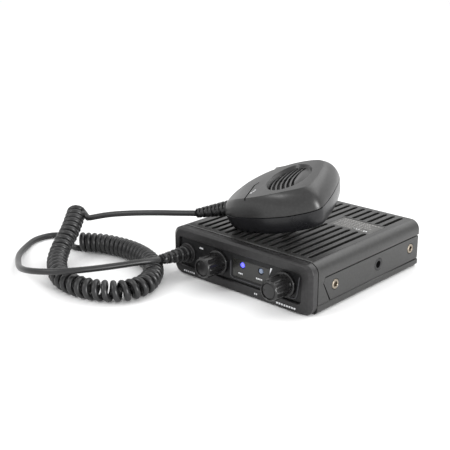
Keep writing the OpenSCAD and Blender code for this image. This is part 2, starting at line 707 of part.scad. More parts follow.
// Solid of the front half, shrunk by inset
module front_body(inset) hull() {
  linear_extrude(0.6) polygon(both_sides(seam_half, inset));
  for (q = face_half) {
    s = q[0] + (q[0] < 20 ? inset : -inset);
    translate([s - 0.05, inset - q[1], q[2] - 0.1 - inset]) cube([0.1, 2 * (q[1] - inset), 0.1]);
  }
}
module ptt_window(grow, y0, y1) {
  block([ptt_s - grow, y0, ptt_n - grow], [ptt_s + ptt_len + grow, y1, ptt_n + ptt_h + grow]);
}
module mic_front_shell() color("#2c2c2e") on_mic() difference() {
  union() {
    difference() {
      front_body(0);
      translate([0, 0, -0.05]) front_body(mic_wall);
    }
    for (q = mic_screw_at) translate([q[0], q[1], -post_drop])
      cylinder(r = post_mic_r, h = post_drop + (q[0] < 20 ? mic_face_h - 5 : mic_face_h - 1.2));
  }
  for (i = [0 : grille_count - 1]) {
    s = grille_s + (i - grille_count / 2) * grille_pitch;
    block([s, -13, mic_face_h - 4], [s + 1.2, 13, mic_face_h + 4]);
  }
  ptt_window(move_gap, 8, half_mic + 4);
  for (q = mic_screw_at) translate([q[0], q[1], -post_drop - 1])
    cylinder(r = 1 + run_gap, h = post_drop + 4);
  translate([3, 0, 0]) rotate([0, -90, 0]) cylinder(r = boot_bore_r, h = 12);
}
module mic_back_shell() color("#242426") on_mic() difference() {
  hull() {
    translate([0, 0, -0.7]) linear_extrude(0.7 - seat_gap) polygon(both_sides(seam_half, 0));
    translate([0, 0, -mic_back_h]) linear_extrude(0.5) polygon(both_sides(back_half, 0));
  }
  hull() {
    translate([0, 0, -0.7]) linear_extrude(2) polygon(both_sides(seam_half, mic_wall));
    translate([0, 0, -mic_back_h + mic_wall]) linear_extrude(0.5) polygon(both_sides(back_half, mic_wall));
  }
  for (q = mic_screw_at) translate([q[0], q[1], -mic_back_h - 1]) {
    cylinder(r = 1.3, h = mic_wall + 3);
    cylinder(r = 2.3, h = 1.8);
  }
  translate([stud_s, 0, -mic_back_h - 1]) cylinder(r = 1.7, h = mic_wall + 3);
  translate([3, 0, 0]) rotate([0, -90, 0]) cylinder(r = boot_bore_r, h = 12);
}
module mic_capsule() color("#8f9296") on_mic() translate([grille_s, 0, mic_face_h - mic_wall - 6.2])
  cylinder(r = 4.8, h = 4.2);
module mic_felt() color("#0d0d0d") on_mic() block([grille_s - 9.6, -12, mic_face_h - mic_wall - 1.7],
  [grille_s + 9.6, 12, mic_face_h - mic_wall - 0.9]);
module mic_board() color("#1d5a34") on_mic() difference() {
  block([16, -14, -2], [mic_len - 15.5, 14, -0.6]);
  translate([stud_s, 0, -5]) cylinder(r = 3.4, h = 8);
}
module ptt_switch() color("#2a2a30") on_mic() block([ptt_s + 8, 8, -0.6],
  [ptt_s + 14, ptt_out - ptt_depth - ptt_travel - move_gap, ptt_n + 4]);
module hanger_stud() color("#1c1c1e") on_mic() translate([stud_s, 0, -mic_back_h]) difference() {
  union() {
    translate([0, 0, -stud_len]) cylinder(d = stud_d, h = stud_flange);
    translate([0, 0, -stud_len]) cylinder(d = stud_neck_d, h = stud_len);
  }
  translate([0, 0, -stud_len + 2]) cylinder(r = stud_screw_r + run_gap, h = stud_len);
}
module hanger_screw() color("#b9bbbe") on_mic() translate([stud_s, 0, -mic_back_h]) {
  translate([0, 0, mic_wall + 0.05]) cylinder(r = 2.7, h = 1.6);
  translate([0, 0, -stud_len + stud_flange])
    cylinder(r = stud_screw_r, h = stud_len - stud_flange + mic_wall + 0.1);
}
module mic_screws() color("#55575b") on_mic() for (q = mic_screw_at)
  translate([q[0], q[1], -mic_back_h + 0.1]) {
    cylinder(r = 2.1, h = 0.65);
    cylinder(r = 1, h = mic_back_h - post_drop + 3.5);
  }
module mic_boot() color("#161618") on_mic() {
  translate([boot_start, 0, 0]) rotate([0, -90, 0]) ribbed(boot_r0, boot_r1, boot_len, boot_ribs);
  translate([1.5, 0, 0]) rotate([0, -90, 0]) cylinder(r = boot_bore_r - 0.1, h = 1.5 - boot_start + 0.2);
}
module ptt_button() color("#1c1c1e") on_mic() ptt_window(0, ptt_out - ptt_depth, ptt_out);

top_cover();
bottom_cover();
chassis();
front_bezel();
front_panel();
display_plate();
power_lamp();
transmit_lamp();
label_plate();
rear_panel();
main_board();
front_board();
ribbon_cable();
shield_can();
power_transistor();
capacitors();
volume_pot();
squelch_pot();
pot_nuts();
speaker_frame();
speaker_cone();
speaker_magnet();
antenna_shell();
antenna_insulator();
antenna_contact();
power_inlet();
power_pins();
speaker_jack();
bracket_inserts();
side_screws();
base_screws();
board_screws();
gland_ring();
cord_gland();
cord_lead_radio();
cord_coil();
cord_lead_mic();
volume_knob();
volume_shaft();
squelch_knob();
squelch_shaft();
mic_front_shell();
mic_back_shell();
mic_capsule();
mic_felt();
mic_board();
ptt_switch();
hanger_stud();
hanger_screw();
mic_screws();
mic_boot();
ptt_button();
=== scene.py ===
# %% [markdown]
# # A mobile transceiver with a hand microphone
#
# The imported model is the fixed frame: it gives every node's place, size and joint. This lesson dresses that
# frame. Pieces whose shape is already right keep their mesh and get a finish. Moulded and turned pieces,
# and the curly cord, are modelled again on top of the frame and stand in for their plain nodes.
# Lengths are written in millimetres, the units of a workshop drawing, and turned into metres on the way out.

# %% Load the frame
import bmesh
import bpy
import json
import math
from mathutils import Matrix, Vector


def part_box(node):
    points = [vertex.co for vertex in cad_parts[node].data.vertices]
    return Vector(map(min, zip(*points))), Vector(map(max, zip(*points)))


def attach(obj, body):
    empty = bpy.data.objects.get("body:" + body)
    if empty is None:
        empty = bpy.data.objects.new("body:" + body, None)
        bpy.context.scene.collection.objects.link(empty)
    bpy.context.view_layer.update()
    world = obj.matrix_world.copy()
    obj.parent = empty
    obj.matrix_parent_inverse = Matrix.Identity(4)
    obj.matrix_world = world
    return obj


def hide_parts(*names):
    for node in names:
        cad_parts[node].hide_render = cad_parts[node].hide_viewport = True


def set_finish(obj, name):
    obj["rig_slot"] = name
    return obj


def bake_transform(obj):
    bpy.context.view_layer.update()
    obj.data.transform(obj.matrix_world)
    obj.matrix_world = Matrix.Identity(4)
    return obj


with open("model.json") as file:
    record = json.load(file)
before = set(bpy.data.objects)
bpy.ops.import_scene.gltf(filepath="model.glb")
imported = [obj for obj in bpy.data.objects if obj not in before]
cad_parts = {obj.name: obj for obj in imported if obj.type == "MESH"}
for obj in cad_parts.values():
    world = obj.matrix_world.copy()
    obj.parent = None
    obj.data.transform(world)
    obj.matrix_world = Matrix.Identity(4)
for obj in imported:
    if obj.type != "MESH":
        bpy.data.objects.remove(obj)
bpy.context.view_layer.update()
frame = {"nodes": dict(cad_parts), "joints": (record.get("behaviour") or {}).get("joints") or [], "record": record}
MM = 0.001

# %% [markdown]
# ## Camera
#
# A product shot is taken with a long lens from a little above, so that the sides stay nearly parallel.
# The camera could be aimed with a constraint, but a matrix made from its own three directions is exact,
# and it needs nothing else in the scene.

# %% The camera
def linked(name, data):
    """A new object with this data, in the scene."""
    made = bpy.data.objects.new(name, data)
    bpy.context.scene.collection.objects.link(made)
    return made


camera_at = Vector((309.22, -395.88, 196.21)) * MM
looks_along = Vector((-0.6429, 0.6956, -0.3207)).normalized()
to_the_right = Vector((0.7348, 0.6783, -0.0018)).normalized()
upwards = to_the_right.cross(looks_along).normalized()
camera_data = bpy.data.cameras.new("camera")
camera_data.lens = 73.4
camera_data.sensor_width = 36
camera = linked("camera", camera_data)
camera.matrix_world = Matrix((to_the_right, upwards, -looks_along)).transposed().to_4x4()
camera.location = camera_at
bpy.context.scene.camera = camera
print("camera is", round(camera_at.length, 3), "m from the origin")

# %% [markdown]
# ## Small helpers for meshes
#
# Every new piece goes through the same three steps: a bmesh is shaped, it becomes an object at the origin,
# and the object is tied to the body that it moves with.

# %% From a bmesh to a piece
def mesh_of(bm, name="in_work"):
    """A mesh with the shape of bm, which is used up."""
    mesh = bpy.data.meshes.new(name)
    bm.to_mesh(mesh)
    bm.free()
    return mesh


def piece(bm, name, body, slot, replaces=(), smooth=40):
    """Makes an object of bm, in metres, that rides on a body and stands for the named nodes."""
    made = linked(name, mesh_of(bm, name))
    made.data.shade_smooth()
    if smooth:
        made.data.set_sharp_from_angle(angle=math.radians(smooth))
    if body:
        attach(made, body)
    if replaces:
        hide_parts(*replaces)
    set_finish(made, slot)
    return made


def catmull(points, per_stretch):
    """The smooth curve through the points, with that many steps to each stretch."""
    points = [Vector(p) for p in points]
    out = []
    last = len(points) - 1
    for i in range(last):
        a, b = points[max(i - 1, 0)], points[i]
        c, d = points[i + 1], points[min(i + 2, last)]
        for k in range(per_stretch):
            t = k / per_stretch
            out.append(0.5 * (2 * b + (c - a) * t + (2 * a - 5 * b + 4 * c - d) * t * t
                              + (3 * b - a - 3 * c + d) * t ** 3))
    return out + [points[last]]


def skin(rings):
    """A closed piece through rings of points: one circle, pushed out ring by ring, with flat ends."""
    bm = bmesh.new()
    sides = len(rings[0])
    ring = bmesh.ops.create_circle(bm, segments=sides, radius=1, cap_ends=False)["verts"]
    for i, points in enumerate(rings):
        if i:
            in_ring = set(ring)
            edges = list({e for v in ring for e in v.link_edges if e.other_vert(v) in in_ring})
            grown = bmesh.ops.extrude_edge_only(bm, edges=edges)["geom"]
            partner = {e.other_vert(v): v for v in grown if isinstance(v, bmesh.types.BMVert)
                       for e in v.link_edges if e.other_vert(v) in in_ring}
            ring = [partner[v] for v in ring]
        for vert, point in zip(ring, points):
            vert.co = point
    bmesh.ops.holes_fill(bm, edges=[e for e in bm.edges if e.is_boundary], sides=sides)
    bmesh.ops.recalc_face_normals(bm, faces=bm.faces)
    return bm


def tube(path, radius, sides):
    """A closed round tube along the path."""
    side = (path[1] - path[0]).orthogonal().normalized()
    rings = []
    for i, centre in enumerate(path):
        ahead = (path[min(i + 1, len(path) - 1)] - path[max(i - 1, 0)]).normalized()
        side = (side - ahead * side.dot(ahead)).normalized()
        over = ahead.cross(side)
        turns = [2 * math.pi * k / sides for k in range(sides)]
        rings.append([centre + radius * (side * math.cos(a) + over * math.sin(a)) for a in turns])
    return skin(rings)


def slab(corners, push):
    """A closed flat piece: one face through the corners, pushed out along push."""
    bm = bmesh.new()
    flat = bm.faces.new([bm.verts.new(corner) for corner in corners])
    grown = bmesh.ops.extrude_face_region(bm, geom=[flat])["geom"]
    bmesh.ops.translate(bm, vec=push, verts=[g for g in grown if isinstance(g, bmesh.types.BMVert)])
    bmesh.ops.recalc_face_normals(bm, faces=bm.faces)
    return bm


def round_edges(bm, edges, width, segments, clamp=False):
    """Rounds the edges, each by width on both of its sides."""
    bmesh.ops.bevel(bm, geom=edges, offset=width, offset_type="OFFSET", segments=segments, profile=0.5,
                    affect="EDGES", clamp_overlap=clamp, material=-1)

# %% [markdown]
# ## Finishes
#
# Almost everything here is black, and what tells one black part from the next is its surface: powder
# coat, spark-eroded plastic, satin rubber, smoked window. A painted texture would need an image, and it
# would blur close up. So each effect is a small node group made once, with its own sizes as inputs, and
# each finish uses the groups with its own values. All of them read the object's own coordinates.

# %% Wiring helpers
def feed(tree, source, socket):
    """Links source if it is a socket, and otherwise sets it as the socket's value."""
    if isinstance(source, bpy.types.NodeSocket):
        tree.links.new(source, socket)
    else:
        socket.default_value = source


def node(tree, kind, *parts, **settings):
    """A shader node with its first inputs fed in order, as its first output."""
    made = tree.nodes.new("ShaderNode" + kind)
    for key, value in settings.items():
        setattr(made, key, value)
    for part, socket in zip(parts, made.inputs):
        if part is not None:
            feed(tree, part, socket)
    return made.outputs[0]


def math_node(tree, operation, *parts):
    return node(tree, "Math", *parts, operation=operation)


def noise(tree, vector, scale, detail=2.0):
    made = tree.nodes.new("ShaderNodeTexNoise")
    feed(tree, vector, made.inputs["Vector"])
    feed(tree, scale, made.inputs["Scale"])
    made.inputs["Detail"].default_value = detail
    return made.outputs[0]


def stretched(tree, vector, scale):
    return node(tree, "Mapping", vector, None, None, scale, vector_type="POINT")


def own_place(tree):
    return tree.nodes.new("ShaderNodeTexCoord").outputs["Object"]


def new_group(name, inputs, outputs):
    """A node group with named number inputs and outputs, and its two end nodes."""
    tree = bpy.data.node_groups.new(name, "ShaderNodeTree")
    for label, value in inputs.items():
        socket = tree.interface.new_socket(label, in_out="INPUT", socket_type="NodeSocketFloat")
        socket.default_value = value
    for label in outputs:
        tree.interface.new_socket(label, in_out="OUTPUT", socket_type="NodeSocketFloat")
    return tree, tree.nodes.new("NodeGroupInput").outputs, tree.nodes.new("NodeGroupOutput").inputs

# %% Grain: the fine texture of spark-eroded tools and of powder coat
def make_grain():
    tree, given, out = new_group("grain", {"Scale": 2600.0, "Depth": 0.03}, ["Height", "Speck"])
    place = own_place(tree)
    fine = noise(tree, place, given["Scale"], 3.0)
    coarse = noise(tree, place, math_node(tree, "MULTIPLY", given["Scale"], 0.3), 2.0)
    both = math_node(tree, "ADD", math_node(tree, "MULTIPLY", fine, 0.65),
                     math_node(tree, "MULTIPLY", coarse, 0.5))
    feed(tree, math_node(tree, "MULTIPLY", both, given["Depth"]), out["Height"])
    feed(tree, node(tree, "MapRange", coarse, 0.4, 0.68, 0.0, 1.0), out["Speck"])
    return tree


# %% Handling: smudges from fingers, and thin scuffs along the length
def make_handling():
    tree, given, out = new_group("handling", {"Scale": 60.0}, ["Smudge", "Scuff"])
    place = own_place(tree)
    feed(tree, node(tree, "MapRange", noise(tree, place, given["Scale"], 4.0), 0.3, 0.7, 0.0, 1.0),
         out["Smudge"])
    lines = noise(tree, stretched(tree, place, (1.0, 0.06, 0.5)),
                  math_node(tree, "MULTIPLY", given["Scale"], 40.0), 2.0)
    feed(tree, node(tree, "MapRange", lines, 0.68, 0.76, 0.0, 1.0), out["Scuff"])
    return tree


# %% Dust: pale specks that settle on what faces up
def make_dust():
    tree, given, out = new_group("dust", {"Amount": 0.1}, ["Mask"])
    facing = tree.nodes.new("ShaderNodeSeparateXYZ")
    feed(tree, tree.nodes.new("ShaderNodeNewGeometry").outputs["Normal"], facing.inputs[0])
    upper = node(tree, "MapRange", facing.outputs[2], 0.4, 1.0, 0.0, 1.0)
    specks = node(tree, "MapRange", noise(tree, own_place(tree), 1500.0, 4.0), 0.55, 0.8, 0.0, 1.0)
    feed(tree, math_node(tree, "MULTIPLY", math_node(tree, "MULTIPLY", upper, specks), given["Amount"]),
         out["Mask"])
    return tree


# %% Rubbed edges: where the surface turns within a small radius, it is polished by use
def make_rubbed():
    tree, given, out = new_group("rubbed_edges", {"Radius": 0.0003, "Amount": 0.5}, ["Mask"])
    turned_normal = tree.nodes.new("ShaderNodeBevel")
    turned_normal.samples = 4
    feed(tree, given["Radius"], turned_normal.inputs["Radius"])
    flat = tree.nodes.new("ShaderNodeNewGeometry").outputs["True Normal"]
    same = tree.nodes.new("ShaderNodeVectorMath")
    same.operation = "DOT_PRODUCT"
    feed(tree, turned_normal.outputs[0], same.inputs[0])
    feed(tree, flat, same.inputs[1])
    edge = node(tree, "MapRange", same.outputs["Value"], 0.98, 0.8, 0.0, 1.0)
    worn = node(tree, "MapRange", noise(tree, own_place(tree), 700.0, 3.0), 0.3, 0.65, 0.25, 1.0)
    feed(tree, math_node(tree, "MULTIPLY", math_node(tree, "MULTIPLY", edge, worn), given["Amount"]),
         out["Mask"])
    return tree


# %% Tooling lines, left by turning, drawing or brushing
def make_lines():
    tree, given, out = new_group("tooling_lines", {"Scale": 3000.0}, ["Height"])
    lines = noise(tree, stretched(tree, own_place(tree), (1.0, 0.03, 1.0)), given["Scale"], 2.0)
    feed(tree, lines, out["Height"])
    return tree


GROUPS = {"grain": make_grain(), "handling": make_handling(), "dust": make_dust(),
          "rubbed": make_rubbed(), "lines": make_lines()}
print("node groups:", sorted(GROUPS))

# %% [markdown]
# ### One recipe for a moulded, painted or plated surface
#
# A finish starts as a plain colour and roughness. Specks of the grain lighten it a little, rubbed edges
# and dust lie over it, smudges make it smoother in patches, and the grain and the tooling lines end in
# one Bump. What stays the same all over the surface is set on the shader itself.

# %% The recipe
dust_colour = (0.42, 0.41, 0.39, 1)


def place_group(tree, name, **values):
    made = tree.nodes.new("ShaderNodeGroup")
    made.node_tree = GROUPS[name]
    for key, value in values.items():
        made.inputs[key].default_value = value
    return made.outputs


def mix_colour(tree, share, under, over):
    made = tree.nodes.new("ShaderNodeMix")
    made.data_type = "RGBA"
    feed(tree, share, made.inputs[0])
    feed(tree, under, made.inputs[6])
    feed(tree, over, made.inputs[7])
    return made.outputs[2]


def finish(name, colour, rough, grain=(2600, 0.03), mottle=0.3, smudge=0.08, edge=0.3, edge_mm=0.25,
           dust=0.035, metallic=0.0, specular=0.5, coat=0.0, lines=0.0):
    """A surface with its own grain, handling, edge wear and dust."""
    made = bpy.data.materials.new(name)
    made.use_nodes = True
    tree = made.node_tree
    shader = tree.nodes["Principled BSDF"]
    texture = place_group(tree, "grain", Scale=grain[0], Depth=grain[1])
    touched = place_group(tree, "handling", Scale=55.0)
    settled = place_group(tree, "dust", Amount=dust)
    rubbed = place_group(tree, "rubbed", Radius=edge_mm * MM, Amount=edge)
    base = (*colour, 1)
    lighter = (*[min(1, c * 1.7 + 0.006) for c in colour], 1)
    polished = (*[min(1, c * 2.2 + 0.03) for c in colour], 1)
    shown = mix_colour(tree, math_node(tree, "MULTIPLY", texture["Speck"], mottle), base, lighter)
    shown = mix_colour(tree, rubbed["Mask"], shown, polished)
    shown = mix_colour(tree, settled["Mask"], shown, dust_colour)
    feed(tree, shown, shader.inputs["Base Color"])
    less = math_node(tree, "MULTIPLY", touched["Smudge"], -smudge)
    more = math_node(tree, "MULTIPLY", touched["Scuff"], smudge)
    uneven = math_node(tree, "ADD", math_node(tree, "ADD", less, more), rough + smudge / 2)
    feed(tree, math_node(tree, "SUBTRACT", uneven, math_node(tree, "MULTIPLY", rubbed["Mask"], 0.15)),
         shader.inputs["Roughness"])
    height = texture["Height"]
    if lines:
        drawn = place_group(tree, "lines", Scale=2600.0)
        height = math_node(tree, "ADD", height, math_node(tree, "MULTIPLY", drawn["Height"], lines))
    bump = tree.nodes.new("ShaderNodeBump")
    bump.inputs["Strength"].default_value = 1.0
    bump.inputs["Distance"].default_value = MM
    feed(tree, height, bump.inputs["Height"])
    feed(tree, bump.outputs[0], shader.inputs["Normal"])
    shader.inputs["Metallic"].default_value = metallic
    shader.inputs["Specular IOR Level"].default_value = specular
    shader.inputs["Coat Weight"].default_value = coat
    shader.inputs["Coat Roughness"].default_value = 0.2
    return made


def lit_lens(name, colour, strength):
    """A lamp's lens: it glows in its colour, a little stronger or weaker in patches."""
    made = finish(name, colour, 0.18, grain=(900, 0.01), edge=0.1, dust=0.0, coat=0.6)
    tree = made.node_tree
    shader = tree.nodes["Principled BSDF"]
    patch = node(tree, "MapRange", noise(tree, own_place(tree), 900.0), 0.25, 0.75, 0.75, 1.1)
    glow = tree.nodes.new("ShaderNodeVectorMath")
    glow.operation = "SCALE"
    glow.inputs[0].default_value = colour
    feed(tree, patch, glow.inputs["Scale"])
    feed(tree, glow.outputs[0], shader.inputs["Emission Color"])
    shader.inputs["Emission Strength"].default_value = strength
    return made


FINISHES = {
    "case_metal": finish("powder_coat", (0.017, 0.017, 0.0165), 0.36, grain=(2400, 0.022), mottle=0.35),
    "cast_chassis": finish("die_casting", (0.16, 0.16, 0.165), 0.5, grain=(1500, 0.05), metallic=1.0),
    "bezel_plastic": finish("bezel_plastic", (0.012, 0.0115, 0.012), 0.38, grain=(2200, 0.03), mottle=0.45,
                            specular=0.46),
    "display_tint": finish("smoked_window", (0.011, 0.011, 0.0095), 0.22, grain=(3200, 0.003), coat=0.2,
                           edge=0.1, dust=0.02),
    "lamp_blue": lit_lens("blue_lamp", (0.12, 0.12, 0.92), 0.95),
    "lamp_pale": lit_lens("pale_lamp", (0.17, 0.21, 0.3), 0.12),
    "label_film": finish("label_film", (0.062, 0.061, 0.058), 0.42, grain=(1100, 0.09), mottle=0.9),
    "board_green": finish("solder_mask", (0.01, 0.06, 0.026), 0.3, grain=(500, 0.02), mottle=0.8),
    "ribbon_grey": finish("ribbon_cable", (0.4, 0.4, 0.42), 0.5, lines=0.1),
    "plated_steel": finish("tinned_steel", (0.4, 0.41, 0.42), 0.3, metallic=1.0, lines=0.04, dust=0.0),
    "black_component": finish("moulded_body", (0.012, 0.012, 0.013), 0.5, grain=(3000, 0.04)),
    "speaker_paper": finish("pressed_fibre", (0.006, 0.006, 0.006), 0.9, grain=(1800, 0.12), mottle=0.9),
    "nickel": finish("nickel_plate", (0.52, 0.48, 0.42), 0.28, grain=(1500, 0.01), metallic=1.0, lines=0.02,
                     dust=0.0, edge=0.1),
    "dark_screw": finish("black_zinc", (0.02, 0.02, 0.021), 0.35, metallic=0.5, lines=0.03),
    "insulator_white": finish("white_insulator", (0.78, 0.76, 0.7), 0.4, grain=(1500, 0.02)),
    "contact_brass": finish("plated_brass", (0.72, 0.52, 0.22), 0.25, metallic=1.0, lines=0.02, dust=0.0),
    "cord_rubber": finish("satin_rubber", (0.009, 0.009, 0.0095), 0.36, grain=(2600, 0.012), mottle=0.3,
                          edge=0.0, dust=0.05),
    "knob_plastic": finish("knob_plastic", (0.007, 0.0068, 0.007), 0.27, grain=(3000, 0.008), mottle=0.2,
                           edge=0.35),
    "mic_plastic": finish("shell_plastic", (0.012, 0.0118, 0.0118), 0.33, grain=(2300, 0.02), mottle=0.4,
                          edge=0.05),
}
panel_finish = finish("panel_plastic", (0.006, 0.006, 0.0065), 0.42, grain=(1900, 0.04), mottle=0.5,
                      specular=0.3)
# A darker copy of the shell plastic for the microphone's back half: painted shade on its underside.
shaded_back_finish = finish("shell_plastic_painted_shade", (0.006, 0.006, 0.007), 0.3, grain=(2300, 0.015), mottle=0.3,
                     edge=0.0, specular=0.4)
# This finish also goes on the knobs' dots, where its lighter colour is a painted highlight.
frame_finish = finish("frame_plastic", (0.03, 0.03, 0.034), 0.2, grain=(3000, 0.006), mottle=0.2)
head_finish = finish("screw_nickel", (0.3, 0.26, 0.21), 0.34, grain=(1500, 0.01), metallic=1.0, lines=0.02,
                     dust=0.0, edge=0.1)
label_print = finish("label_print", (0.17, 0.166, 0.16), 0.4, grain=(1300, 0.08), mottle=0.9)
white_ink = finish("white_ink", (0.75, 0.76, 0.78), 0.5, grain=(3000, 0.01), edge=0.0, dust=0.0)
print("finishes:", len(FINISHES), "by slot, and six more for single pieces")

# %% [markdown]
# ### Every node gets the finish that its record names
#
# The nodes that keep their own mesh are dressed in one loop, since the record already says what each is
# made of. The pieces made below take the same finishes through their slot names.

# %% Dress the nodes
SLOT_OF = {part["node"]: part["material_slot"] for part in frame["record"]["subparts"]}


def dress(made, finish_used=None):
    """Puts a finish on a piece: the one given, or the one its slot names."""
    used = finish_used or FINISHES[made["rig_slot"]]
    made.data.materials.clear()
    made.data.materials.append(used)
    return made


for name, obj in frame["nodes"].items():
    dress(obj, FINISHES[SLOT_OF[name]])
print("dressed", len(frame["nodes"]), "nodes")

# %% [markdown]
# ## Covers and panels with softened edges
#
# Folded sheet and moulded plastic never end in a knife edge: paint builds up on a corner, and a mould has
# a small radius. Rounding could be faked in the shading normal, but a close view and the exported mesh
# would still be sharp. A copy of the node is welded, its flat faces are joined again, and every outer
# edge gets a real bevel.

# %% Softened copies
def softened(name, width, segments=2, sharper_than=28):
    """The node's mesh, welded, with its convex edges rounded by width millimetres."""
    bm = bmesh.new()
    bm.from_mesh(frame["nodes"][name].data)
    bmesh.ops.remove_doubles(bm, verts=bm.verts, dist=0.003 * MM)
    bmesh.ops.dissolve_limit(bm, angle_limit=math.radians(0.4), use_dissolve_boundaries=False,
                             verts=bm.verts, edges=bm.edges)
    limit = math.radians(sharper_than)
    sharp = [e for e in bm.edges if len(e.link_faces) == 2 and e.is_convex and e.calc_face_angle(0) > limit]
    round_edges(bm, sharp, width * MM, segments)
    return bm


def keep_flat(made):
    """Shades the big faces flat and leaves the blend to the small bevels beside them."""
    weighted = made.modifiers.new("flat_faces", "WEIGHTED_NORMAL")
    weighted.keep_sharp = True
    weighted.weight = 100
    return made


BODY_OF = {n: body for body, nodes in frame["record"]["behaviour"]["bodies"].items() for n in nodes}
SOFTENED = {"front_panel": 0.12, "display_plate": 0.1, "rear_panel": 0.2, "power_inlet": 0.3,
            "base_screws": 0.15, "hanger_stud": 0.4, "speaker_jack": 0.12, "label_plate": 0.08,
            "bracket_inserts": 0.15}
for name, width in SOFTENED.items():
    made = piece(softened(name, width, 3 if width > 0.25 else 2), name + "_shell", BODY_OF[name],
                 SLOT_OF[name], [name], smooth=50)
    dress(keep_flat(made), panel_finish if name == "front_panel" else None)
print("softened:", len(SOFTENED), "pieces")

# %% Cutting one solid from another
def cut_away(bm, cutter, unit=1.0):
    """The solid bm without the cutter, by the Boolean modifier. The cutter is first scaled by unit, which
    is MM where bm is already in metres."""
    bmesh.ops.scale(cutter, vec=(unit,) * 3, verts=cutter.verts)
    pair = [linked("in_work", mesh_of(source)) for source in (bm, cutter)]
    cut = pair[0].modifiers.new("cut", "BOOLEAN")
    cut.operation = "DIFFERENCE"
    cut.solver = "EXACT"
    cut.object = pair[1]
    done = pair[0].evaluated_get(bpy.context.evaluated_depsgraph_get())
    out = bmesh.new()
    out.from_mesh(done.to_mesh())
    bmesh.ops.remove_doubles(out, verts=out.verts, dist=1e-6 if unit < 1 else 1e-4)
    for made in pair:
        mesh = made.data
        bpy.data.objects.remove(made)
        bpy.data.meshes.remove(mesh)
    return out


def box_of(low, high, soft=0.0):
    """A box between two corners, with its edges rounded by soft."""
    bm = bmesh.new()
    bmesh.ops.create_cube(bm, size=1)
    size = Vector(high) - Vector(low)
    bmesh.ops.scale(bm, vec=size, verts=bm.verts)
    bmesh.ops.translate(bm, vec=(Vector(low) + Vector(high)) / 2, verts=bm.verts)
    if soft:
        round_edges(bm, bm.edges[:], soft, 3, clamp=True)
    return bm


def joined(*parts):
    """One bmesh from several that don't touch or only overlap."""
    out = bmesh.new()
    for part in parts:
        mesh = mesh_of(part)
        out.from_mesh(mesh)
        bpy.data.meshes.remove(mesh)
    return out


def peg_x(x, y, z, radius, depth, sides=48):
    """A round peg along X, half of it on each side of x."""
    bm = bmesh.new()
    bmesh.ops.create_cone(bm, cap_ends=True, segments=sides, radius1=radius, radius2=radius, depth=depth)
    bmesh.ops.rotate(bm, matrix=Matrix.Rotation(math.radians(90), 3, "Y"), cent=(0, 0, 0), verts=bm.verts)
    bmesh.ops.translate(bm, vec=(x, y, z), verts=bm.verts)
    return bm

# %% The covers, with the grooves of their folds
# A fine groove runs across the roof just behind the bezel, where the sheet is folded over its edge. The
# side panels are set off from the rail below by a groove, and each screw sits in a wider seat.
half_wide, roof_top = 50.0, 28.0
seam_y, seam_to_groove = -45.6, 1.9
groove_half_long, groove_wide, groove_deep = 44.5, 0.45, 0.5
skirt_deep, rail_deep = 1.1, 1.0
rail_z, seat_r, seat_deep = 5.0, 3.2, 0.8
hex_r, hex_deep = 1.55, 1.7
clear = 1
screw_places = [(-30.0, 12.9), (42.7, 12.9)]
groove_y = seam_y + seam_to_groove
roof_groove = joined(box_of((-groove_half_long, groove_y, roof_top - groove_deep),
                            (groove_half_long, groove_y + groove_wide, roof_top + clear)),
                     box_of((-half_wide - clear, seam_y - 0.1, -clear),
                            (half_wide + clear, seam_y + 0.42, roof_top + 2 * clear)))
panel_outline = [(-34.8, 4.4), (-41.1, 16.2), (-39.4, 19.75), (53, 19.75), (53, 4.4)]


def side_cut(side):
    """The side panel's outline, a little enlarged, standing through the skirt's outer millimetre."""
    return slab([(side * (half_wide - skirt_deep), y, z) for y, z in panel_outline], (side * 3, 0, 0))


bm = cut_away(softened("top_cover", 0.3, 3), joined(roof_groove, side_cut(-1), side_cut(1)), MM)
dress(keep_flat(piece(bm, "roof_shell", "radio", "case_metal", ["top_cover"], smooth=50)))

cuts = []
for side in (-1, 1):
    low, high = sorted((side * (half_wide - rail_deep), side * (half_wide + clear)))
    cuts.append(box_of((low, -44.0, rail_z - 0.4), (high, 52.0, rail_z + 0.2)))
    cuts += [peg_x(side * half_wide, y, z, seat_r, 2 * seat_deep) for y, z in screw_places]
bm = cut_away(softened("bottom_cover", 0.2, 2), joined(*cuts), MM)
dress(keep_flat(piece(bm, "base_shell", "radio", "case_metal", ["bottom_cover"], smooth=50)))

# %% Side screws with a deep hex socket
sockets = [peg_x(side * half_wide, y, z, hex_r, 2 * hex_deep, 6) for side in (-1, 1) for y, z in screw_places]
bm = cut_away(softened("side_screws", 0.5, 3), joined(*sockets), MM)
dress(keep_flat(piece(bm, "side_screw_heads", "radio", "nickel", ["side_screws"], smooth=50)), head_finish)

# %% The bezel, whose sill slopes in under the panel
# No angle is sharper than 200 degrees, so softened() only welds the node here.
panel_y, bezel_y = -49.7, -51.0
sill_z, sill_slope = 5.9, 1.05
near = 0.1 * MM
bm = softened("front_bezel", 0.02, 1, 200)
sill = [e for e in bm.edges
        if all(abs(v.co.y - bezel_y * MM) < near and abs(v.co.z - sill_z * MM) < near for v in e.verts)]
round_edges(bm, sill, sill_slope * MM, 4)
corners = [e for e in bm.edges if len(e.link_faces) == 2 and e.is_convex and e.calc_face_angle(0) > 0.6]
round_edges(bm, corners, 0.3 * MM, 3)
dress(keep_flat(piece(bm, "bezel_shell", "radio", "bezel_plastic", ["front_bezel"], smooth=50)))
print("covers, screws and bezel made; the sill had", len(sill), "edges")

# %% [markdown]
# ## Turned pieces
#
# A knob, a strain relief and a socket are all round about one line, so half of their outline, spun once
# round, gives the whole piece. The grip's ribs and the socket's thread aren't round: they are made
# afterwards, by moving the spun surface in or out by a rule that depends on the angle.

